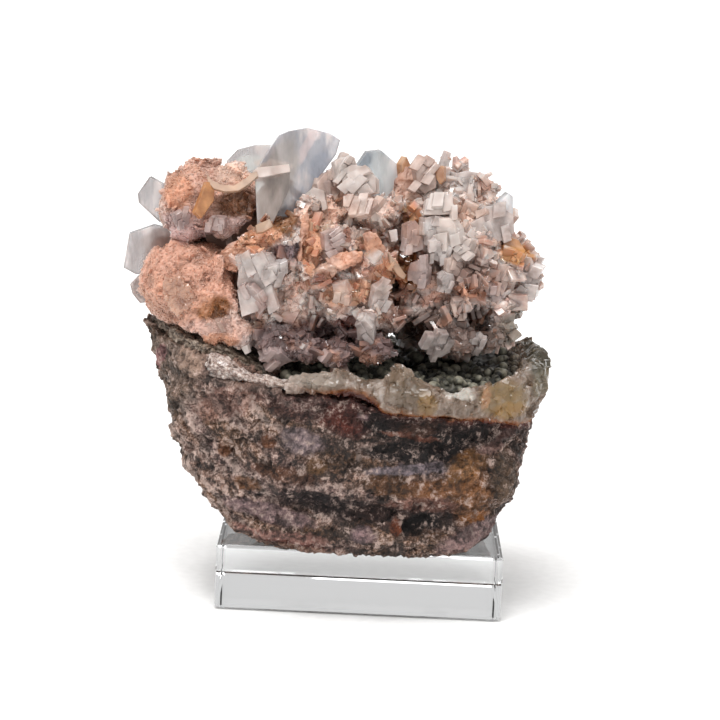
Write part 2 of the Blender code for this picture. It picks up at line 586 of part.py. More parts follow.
def scattered_plates(lumps, rng):
    """Small plates that stand on the lumps at even steps round them, each turned its own way."""
    plates = []
    golden = math.pi * (3.0 - math.sqrt(5.0))
    for number, (x, y, z, half_x, half_y, half_z, count, _) in enumerate(lumps):
        for step in range(count):
            rise = 0.92 - 1.5 * (step + 0.5) / count
            angle = golden * step + number
            flat = math.sqrt(1.0 - rise * rise)
            way = Vector((flat * math.cos(angle), flat * math.sin(angle), rise))
            root = Vector((x + way.x * half_x, y + way.y * half_y, z + way.z * half_z))
            if buried(root, lumps, number):
                continue
            lean = Vector((rng.uniform(-0.5, 0.5), rng.uniform(-0.5, 0.5), rng.uniform(-0.4, 0.5)))
            turn = rng.uniform(0, 180)
            length = rng.uniform(*SCATTER_LENGTH)
            width = rng.uniform(*SCATTER_WIDTH)
            thickness = rng.uniform(*SCATTER_THICKNESS)
            plates.append(simple_plate(root, way + lean, turn, length, width, thickness))
    return plates


def buried(place, lumps, skip):
    for number, (x, y, z, half_x, half_y, half_z, _, _) in enumerate(lumps):
        if number == skip:
            continue
        away = Vector(((place.x - x) / half_x, (place.y - y) / half_y, (place.z - z) / half_z))
        if away.length < 1.0:
            return True
    return False


def half_space(cleft, keep_side):
    """A large box on the far side of a cleft, less half of the gap."""
    point, way = cleft
    way = way.normalized() * keep_side
    reach = 90.0
    shape = bmesh.new()
    bmesh.ops.create_cube(shape, size=reach)
    turn = Vector((0, 0, 1)).rotation_difference(way).to_matrix().to_4x4()
    place = Matrix.Translation(point + way * 0.5 * (reach - GAP)) @ turn
    bmesh.ops.transform(shape, matrix=place, verts=shape.verts)
    mesh = bpy.data.meshes.new("half space")
    shape.to_mesh(mesh)
    shape.free()
    return add_object("half space", mesh)


def build_mass(name, lumps, cuts, seed):
    """Fuse lumps and plates into one solid, then part it from its neighbours and from the crust below."""
    rng = random.Random(SEED + seed)
    body = add_object(name, lump_mesh(lumps[0], seed))
    for number, lump in enumerate(lumps[1:], start=1):
        combine(body, add_object("lump", lump_mesh(lump, seed + number)), "UNION")
    for plate in PLATE_OUTLINES[name]:
        combine(body, add_object("plate", plate_mesh(*plate)), "UNION")
    for plate in scattered_plates(lumps, rng):
        combine(body, add_object("plate", plate), "UNION")
    for cleft, side in cuts:
        combine(body, half_space(cleft, side), "DIFFERENCE")
    floor = build_crust_sheet(GAP, -CUTTER_REACH, CUTTER_SPREAD)
    combine(body, add_object("floor", floor), "DIFFERENCE")
    return body


def keep_largest(thing):
    """Leave only the largest connected body of an object's mesh."""
    shape = bmesh.new()
    shape.from_mesh(thing.data)
    unseen = set(shape.faces)
    bodies = []
    while unseen:
        seed = unseen.pop()
        body = [seed]
        queue = [seed]
        while queue:
            face = queue.pop()
            for edge in face.edges:
                for other in edge.link_faces:
                    if other in unseen:
                        unseen.remove(other)
                        body.append(other)
                        queue.append(other)
        bodies.append(body)
    bodies.sort(key=len)
    for body in bodies[:-1]:
        bmesh.ops.delete(shape, geom=body, context="FACES")
    loose = [vertex for vertex in shape.verts if not vertex.link_faces]
    bmesh.ops.delete(shape, geom=loose, context="VERTS")
    bmesh.ops.dissolve_limit(shape, angle_limit=FLAT_ENOUGH, verts=shape.verts, edges=shape.edges)
    bmesh.ops.triangulate(shape, faces=shape.faces)
    shape.to_mesh(thing.data)
    shape.free()


def tree_of(thing):
    shape = bmesh.new()
    shape.from_mesh(thing.data)
    tree = BVHTree.FromBMesh(shape)
    shape.free()
    return tree


def dome_mesh(middle, radius, turn):
    """A spherule's upper half, and a little more of it, so that its foot is sunk in the crust."""
    points = [middle + Vector((0, 0, radius))]
    sides = SPHERULE_SIDES
    for tilt in (0.75, 1.65):
        for step in range(sides):
            angle = turn + 2.0 * math.pi * step / sides
            flat = radius * math.sin(tilt)
            rise = radius * math.cos(tilt)
            points.append(middle + Vector((flat * math.cos(angle), flat * math.sin(angle), rise)))
    faces = [tuple(range(sides + 1, 2 * sides + 1))]
    for step in range(sides):
        after = (step + 1) % sides
        faces.append((0, 1 + step, 1 + after))
        faces.append((1 + step, 1 + sides + step, 1 + sides + after, 1 + after))
    return mesh_from(points, faces)


def inside_outline(place, ring, margin):
    """Whether a plan point lies inside the closed ring by at least the margin."""
    inside = False
    nearest = 1e9
    for index, start in enumerate(ring):
        end = ring[(index + 1) % len(ring)]
        side = end - start
        share = min(1.0, max(0.0, (place - start).dot(side) / side.length_squared))
        nearest = min(nearest, (place - start - side * share).length)
        if (start.y > place.y) != (end.y > place.y):
            cross = start.x + side.x * (place.y - start.y) / side.y
            if place.x < cross:
                inside = not inside
    return inside and nearest > margin


def open_to_view(place, trees):
    """Whether nothing stands over a place, or close before it on at least two sides."""
    free = 0
    for way in ((0, 0, 1), (0, -1, 0.18), (0, 1, 0.18), (-1, 0, 0.18), (1, 0, 0.18)):
        blocked = any(tree.ray_cast(place, Vector(way), SPHERULE_OPEN_VIEW)[0] for tree in trees)
        free += not blocked
    return free >= 2


def build_crust(neighbours):
    """The crust sheet with spherules wherever the masses leave it open."""
    crust = add_object("botryoidal_crust", build_crust_sheet())
    combine(crust, build_rim(GAP, CUTTER_REACH), "DIFFERENCE")
    sheet = tree_of(crust)
    ring = rock_outline(CRUST_LEVEL, CRUST_AROUND)
    rim_line = [station[0] for station in rim_path()]
    trees = [tree_of(thing) for thing in neighbours]
    rng = random.Random(SEED)
    placed = []
    row = 0
    y = -20.0
    while y < 20.0:
        x = -34.0 + 0.5 * SPHERULE_PITCH * (row % 2)
        while x < 28.0:
            place = Vector((x + rng.uniform(-0.35, 0.35), y + rng.uniform(-0.35, 0.35)))
            radius = SPHERULE_RADIUS * rng.uniform(0.85, 1.15)
            x += SPHERULE_PITCH
            from_rim = min((place - point).length for point in rim_line)
            if not inside_outline(place, ring, CRUST_INSET + 0.2) or from_rim < RIM_THICKNESS + radius:
                continue
            floor = sheet.ray_cast(Vector((place.x, place.y, 60.0)), Vector((0, 0, -1)))[0]
            middle = floor - Vector((0, 0, SPHERULE_SUNK * radius))
            if min(tree.find_nearest(middle)[3] for tree in trees) < radius + GAP + SPHERULE_APART:
                continue
            if not open_to_view(middle, trees):
                continue
            if (place.y > SPHERULE_FRONT or place.x < -4.0) and rng.random() > SPHERULES_BEHIND:
                continue
            room = min([(place - other).length - reach for other, reach in placed], default=SPHERULE_PITCH)
            radius = min(radius, room - SPHERULE_APART)
            placed.append((place, radius))
            combine(crust, add_object("dome", dome_mesh(middle, radius, rng.uniform(0, 1))), "UNION")
        y += SPHERULE_PITCH * 0.87
        row += 1
    return crust


def build_stand():
    shape = bmesh.new()
    bmesh.ops.create_cube(shape, size=1.0)
    bmesh.ops.scale(shape, vec=(BLOCK_WIDTH, BLOCK_DEPTH, BLOCK_HEIGHT), verts=shape.verts)
    bmesh.ops.translate(shape, vec=(0, 0, 0.5 * BLOCK_HEIGHT), verts=shape.verts)
    bmesh.ops.bevel(shape, geom=shape.edges[:], offset=BLOCK_ARRIS, segments=1, affect="EDGES")
    mesh = bpy.data.meshes.new("stand")
    shape.to_mesh(mesh)
    shape.free()
    return mesh


def finish(thing, name, material):
    """Close the object off as one body, scale it to metres and give it its material."""
    keep_largest(thing)
    thing.data.transform(Matrix.Scale(MM, 4))
    thing.name = name
    thing.data.name = name
    thing.data.materials.clear()
    thing.data.materials.append(material)


def main():
    wipe_scene()
    materials = {name: make_material(name, colour, 0.45) for name, colour in COLOURS.items()}
    materials["acrylic"] = make_material("clear acrylic", COLOURS["acrylic"], 0.03, 1.0, 1.49)
    materials["clear baryte"] = make_material("glassy baryte", COLOURS["clear baryte"], 0.12, 0.6, 1.64)

    stand = add_object("acrylic_stand", build_stand())
    finish(stand, "acrylic_stand", materials["acrylic"])

    masses = {
        "baryte_left_cluster": build_mass("left", LEFT_LUMPS,
                                          [(CLEFT_LEFT_CENTRE, 1), (CLEFT_LEFT_KNOB, 1)], 1),
        "baryte_knob_cluster": build_mass("knob", KNOB_LUMPS,
                                          [(CLEFT_LEFT_KNOB, -1), (CLEFT_KNOB_CENTRE, 1)], 2),
        "baryte_centre_cluster": build_mass("centre", CENTRE_LUMPS,
                                            [(CLEFT_LEFT_CENTRE, -1), (CLEFT_CENTRE_RIGHT, 1),
                                             (CLEFT_KNOB_CENTRE, -1)], 3),
        "baryte_right_cluster": build_mass("right", RIGHT_LUMPS,
                                           [(CLEFT_CENTRE_RIGHT, -1)], 4),
    }
    for mass in masses.values():
        for blade in BLADES.values():
            combine(mass, add_object("seat", plate_mesh(*blade, grow=GAP)), "DIFFERENCE")
        combine(mass, build_rim(GAP), "DIFFERENCE")
        keep_largest(mass)
    crust = build_crust(masses.values())
    rock = add_object("matrix_rock", build_rock())
    combine(rock, build_rim(GAP), "DIFFERENCE")
    ceiling = build_crust_sheet(CUTTER_REACH, -CRUST_THICKNESS - GAP, CUTTER_SPREAD)
    combine(rock, add_object("ceiling", ceiling), "DIFFERENCE")
    rim = build_rim()

    for name, mass in masses.items():
        stained = name in ("baryte_left_cluster", "baryte_knob_cluster")
        finish(mass, name, materials["stained baryte" if stained else "pink baryte"])
    for name, blade in BLADES.items():
        finish(add_object(name, plate_mesh(*blade)), name, materials["clear baryte"])
    finish(crust, "botryoidal_crust", materials["crust"])
    finish(rock, "matrix_rock", materials["matrix"])
    finish(rim, "fluorite_rim", materials["fluorite"])


main()
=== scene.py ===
"""Looks of a baryte and fluorite specimen on a clear acrylic block.

Lengths in the tables are millimetres, and MM turns them to metres. X runs right, Y away from the front, Z up.
"""
import math

import bpy
import numpy as np
from mathutils import Matrix, Vector, noise


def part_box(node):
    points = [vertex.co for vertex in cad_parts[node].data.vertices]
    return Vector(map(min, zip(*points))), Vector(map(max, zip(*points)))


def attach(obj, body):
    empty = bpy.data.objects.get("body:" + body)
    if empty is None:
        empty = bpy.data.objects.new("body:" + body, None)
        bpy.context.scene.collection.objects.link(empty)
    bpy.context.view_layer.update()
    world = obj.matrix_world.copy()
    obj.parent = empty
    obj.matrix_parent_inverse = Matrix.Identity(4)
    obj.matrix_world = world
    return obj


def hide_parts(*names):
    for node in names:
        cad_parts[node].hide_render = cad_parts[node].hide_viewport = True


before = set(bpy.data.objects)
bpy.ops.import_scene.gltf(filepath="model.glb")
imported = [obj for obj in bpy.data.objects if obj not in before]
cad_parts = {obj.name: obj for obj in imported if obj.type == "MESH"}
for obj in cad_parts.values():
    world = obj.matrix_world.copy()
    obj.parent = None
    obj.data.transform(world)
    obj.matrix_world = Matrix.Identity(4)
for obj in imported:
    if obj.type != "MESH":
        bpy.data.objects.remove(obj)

bl_info = {
    "name": "Baryte and Fluorite Specimen",
    "version": (1, 0, 0),
    "blender": (4, 5, 0),
    "location": "3D View > Sidebar > Specimen",
    "description": "Builds the crystals, the banded rock, the fluorite rim and the acrylic block",
    "category": "Object",
}

MM = 0.001
SEED = 11
BODY = "root"
BLOCK_LOW, BLOCK_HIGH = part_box("acrylic_stand")

# Camera: where it looks, how far away it stands, its elevation and its roll
CAMERA_TARGET = (-1.325, 0.0, 35.0)
CAMERA_DISTANCE = 420.0
CAMERA_ELEVATION = 10.0
CAMERA_ROLL = 2.7
CAMERA_LENS = 140.0
CAMERA_SENSOR = 36.0

# Lights: where each one stands as a direction, how wide it looks in degrees and its power
LIGHTS = [
    ("key_light", (-0.25, -0.5, 1.2), 30, 2.3),
    ("glint_light", (0.25, -1.0, 0.8), 9, 0.45),
    ("back_light", (0.4, 1.0, 0.8), 40, 0.6),
]
SKY_POWER = 0.66
FLOOR_DROP = 0.25

# Rock colours as patches: colour, x and z of the middle, half width, half height, tilt in degrees, strength,
# and how far the patch stands out of the rock
ROCK_PATCHES = [
    ("#6c5644", -31.0, 33.0, 6.0, 9.0, 15, 0.8, 0.0),
    ("#a16e6d", -30.8, 35.6, 0.9, 2.0, 20, 0.9, 0.0),
    ("#ba9a86", -25.6, 37.2, 2.2, 2.8, 30, 0.8, 0.3),
    ("#b58f7e", -17.0, 36.2, 7.6, 2.2, 14, 0.8, 0.3),
    ("#9b6e60", -20.0, 31.4, 6.0, 2.6, -20, 0.6, 0.0),
    ("#5a2c22", -9.5, 31.4, 6.0, 2.0, 10, 0.6, -0.2),
    ("#6c2817", -2.4, 30.6, 4.6, 3.6, 0, 0.85, -0.2),
    ("#968284", -9.4, 26.4, 3.6, 2.1, 20, 0.9, 0.6),
    ("#130b0a", 3.4, 29.0, 5.0, 2.4, 8, 0.95, -0.5),
    ("#100b0c", 14.6, 28.0, 7.6, 2.2, -8, 0.95, -0.5),
    ("#150c0d", 7.6, 25.0, 9.8, 1.6, -2, 0.95, -0.5),
    ("#6f4936", 7.2, 28.3, 3.6, 1.0, 4, 0.85, 0.2),
    ("#a16752", 6.2, 27.2, 4.8, 0.45, 8, 0.85, 0.3),
    ("#8f8289", 6.4, 22.8, 6.6, 0.75, -6, 0.8, 0.3),
    ("#62381d", -11.0, 21.4, 5.6, 1.3, 6, 0.7, 0.1),
    ("#66401f", 3.8, 20.4, 4.2, 1.5, 4, 0.9, 0.3),
    ("#7f4f27", 10.6, 20.2, 5.0, 1.8, -8, 0.9, 0.3),
    ("#8c5e2f", 14.6, 23.2, 3.4, 2.1, -20, 0.9, 0.5),
    ("#8e5a2c", 15.8, 18.6, 3.2, 4.4, 10, 0.85, 0.3),
    ("#8e6e66", 19.2, 26.4, 3.4, 0.8, -28, 0.9, 0.3),
    ("#634b37", 20.6, 21.2, 2.0, 4.2, -6, 0.9, 0.4),
    ("#805446", 8.6, 17.6, 6.2, 1.4, 2, 0.85, 0.2),
    ("#271717", -4.0, 16.9, 9.0, 1.9, 6, 0.9, -0.5),
    ("#37221d", 3.6, 15.8, 6.4, 1.6, 4, 0.85, -0.3),
    ("#0f0908", 8.4, 14.6, 3.2, 1.5, -12, 0.95, -0.5),
    ("#7e3c16", 5.0, 14.3, 1.1, 1.4, 0, 0.9, 0.0),
    ("#917677", -13.4, 15.4, 7.4, 1.5, 12, 0.85, 0.3),
    ("#9a7d7e", 0.4, 13.0, 2.2, 1.2, 0, 0.9, 0.5),
    ("#a8776a", -11.6, 12.2, 7.4, 1.0, 4, 0.9, 0.6),
    ("#652b1f", -9.6, 11.1, 6.4, 0.5, 4, 0.8, -0.4),
    ("#95705f", -8.0, 10.2, 7.0, 0.7, 2, 0.9, 0.2),
    ("#a1817e", 15.6, 12.6, 5.2, 2.0, -22, 0.9, 0.6),
    ("#a8651f", 16.8, 15.7, 1.8, 0.9, -10, 0.85, 0.0),
    ("#703f16", -20.0, 24.0, 1.0, 1.1, 0, 0.9, -0.4),
    ("#713e17", -14.2, 26.0, 1.4, 0.9, 20, 0.9, -0.3),
    ("#7d4e23", -16.8, 19.7, 2.2, 1.1, 14, 0.85, -0.2),
    ("#644320", -6.9, 22.9, 1.9, 1.2, 0, 0.85, -0.2),
    ("#9c7e7f", -0.6, 30.0, 0.9, 0.7, 20, 0.9, 0.3),
    ("#9b8274", -19.0, 34.4, 8.4, 1.1, 9, 0.4, 0.7),
]
# Lower edge of the fluorite over the rock, as (x, z), which the red-brown iron line follows
IRON_LINE = [(-34.0, 37.5), (-20.0, 35.8), (-8.3, 33.9), (-3.0, 34.1), (0.6, 33.2), (3.3, 31.3), (9.0, 30.8),
             (17.0, 30.4), (22.0, 29.4), (30.0, 29.0)]
# How strong the iron stain is, from 1 mm above that line to 4 mm below it
IRON_FADE = [(0.12, 0.3), (0.24, 0.95), (0.5, 0.75)]

# The orange of the two left masses, all round, written as the patches above
LOBE_PATCHES = [
    ("#c4917a", -27.0, 47.0, 8.5, 7.5, 0, 0.95, 0.0),
    ("#c49885", -24.5, 59.5, 8.0, 6.0, 0, 0.95, 0.0),
]
# Stains on the front of the baryte, with painted light on the tops and painted shade lower down, written as the
# patches above
BARYTE_PATCHES = [
    ("#000000", -25.4, 65.2, 3.4, 1.8, 0, 0.0, -0.8),
    # The next three are painted shade and light: the right middle darker, the right top and the centre top lighter.
    ("#a2857a", 11.0, 49.4, 8.6, 4.4, 0, 0.75, 0.0),
    ("#efe0d8", 11.0, 60.0, 8.0, 5.0, 0, 0.55, 0.0),
    ("#e8cabb", -3.0, 57.6, 6.4, 3.4, 0, 0.6, 0.0),
    ("#c98761", -28.8, 60.0, 2.6, 2.6, 0, 0.6, 0.0),
    ("#ddb9a6", -20.6, 63.0, 3.6, 1.8, 0, 0.9, 0.0),
    ("#cbaaa6", -27.4, 55.0, 4.2, 2.2, 10, 0.9, 0.1),
    ("#cdb0aa", -20.6, 55.6, 3.6, 1.4, -10, 0.85, 0.1),
    ("#6a4022", -20.4, 58.6, 3.4, 2.0, -10, 0.95, -0.7),
    ("#87512c", -17.2, 56.8, 1.4, 2.6, 10, 0.85, -0.3),
    ("#8f5a30", -22.6, 44.2, 2.6, 1.8, 0, 0.95, -0.6),
    ("#c8a294", -22.4, 40.8, 5.0, 2.0, 0, 0.85, 0.2),
    ("#cf9474", -22.0, 39.6, 3.0, 1.0, -6, 0.8, 0.2),
    ("#dda07a", -16.8, 54.2, 4.4, 1.8, -28, 0.9, 0.4),
    ("#8f5e32", -13.2, 56.8, 2.4, 1.6, 0, 0.9, -0.4),
    ("#6c5660", -12.6, 52.8, 2.6, 1.2, -20, 0.8, -0.5),
    ("#d2936a", -9.0, 53.6, 1.7, 4.2, 0, 0.8, 0.2),
    ("#dda17c", 2.4, 49.8, 2.4, 3.4, 10, 0.9, 0.0),
    ("#e0a988", -3.4, 47.4, 4.6, 1.9, -18, 0.9, 0.5),
    ("#8c4a34", -6.8, 49.4, 1.7, 1.3, 0, 0.85, -0.5),
    ("#d6a284", -0.8, 54.6, 2.4, 1.2, -30, 0.8, 0.0),
    ("#96604a", -4.0, 55.6, 0.9, 0.8, 0, 0.85, -0.4),
    # Purple-grey lower fringe of the centre, darkened as painted shade.
    ("#6c5453", -6.0, 39.8, 13.0, 3.8, 2, 0.9, 0.0),
    ("#6e3526", -2.6, 43.0, 2.6, 0.9, 0, 0.85, -0.6),
    ("#dd9a66", 5.4, 57.2, 1.7, 3.2, -10, 0.85, 0.0),
    ("#995f30", 5.2, 50.6, 1.2, 3.4, 0, 0.9, -0.6),
    ("#dcb29a", 12.2, 58.6, 4.6, 1.6, 0, 0.5, 0.0),
    ("#cf9150", 20.8, 53.2, 2.8, 1.4, 10, 0.85, 0.2),
    ("#a56a4c", 14.4, 48.0, 3.0, 0.9, 10, 0.7, -0.3),
    ("#7c7668", 20.6, 42.4, 4.2, 2.2, -20, 0.8, 0.0),
    # Painted shade over the lower right, purple-brown.
    ("#6b564e", 12.0, 41.6, 8.5, 4.0, 0, 0.85, 0.0),
    ("#4a3328", 6.4, 40.6, 1.6, 3.2, 0, 0.9, -0.7),
    ("#dfb096", -6.6, 58.4, 5.4, 2.0, -8, 0.6, 0.0),
    ("#cf9478", -12.0, 47.0, 8.0, 1.0, -20, 0.5, 0.0),
    ("#c98a6c", -2.0, 51.6, 6.0, 1.2, 30, 0.6, 0.0),
    ("#b67c62", 4.0, 45.4, 1.4, 3.0, 0, 0.6, -0.2),
    ("#c9927a", 9.0, 46.6, 2.2, 0.9, -20, 0.6, 0.0),
    ("#cf9a80", 16.6, 58.6, 1.6, 1.0, 0, 0.6, 0.0),
]

# Honey-yellow and chalky spots of the fluorite, written as the patches above
FLUORITE_PATCHES = [
    ("#cfc3b6", -9.0, 35.8, 6.0, 1.4, 2, 0.6),
    ("#bcb0a6", -20.0, 37.0, 5.0, 2.2, 10, 0.6),
    ("#93806a", 5.4, 35.0, 3.2, 3.4, 0, 0.5),
    ("#a58b62", 19.6, 33.2, 3.8, 2.8, 0, 0.8),
    ("#bd9250", 20.6, 31.6, 2.8, 1.5, 0, 0.6),
    ("#a98446", 8.6, 32.6, 1.6, 2.2, 0, 0.6),
    ("#ece6dc", 13.0, 34.6, 2.4, 0.8, 14, 0.95),
    ("#d3a27c", 17.0, 33.6, 0.7, 2.0, 10, 0.7),
    ("#5f5c4d", 26.4, 37.6, 3.2, 2.4, -20, 0.85),
    ("#96866f", 24.4, 40.2, 4.4, 1.9, -20, 0.95),
    ("#8b8068", 25.6, 34.6, 1.8, 2.0, 0, 0.7),
]

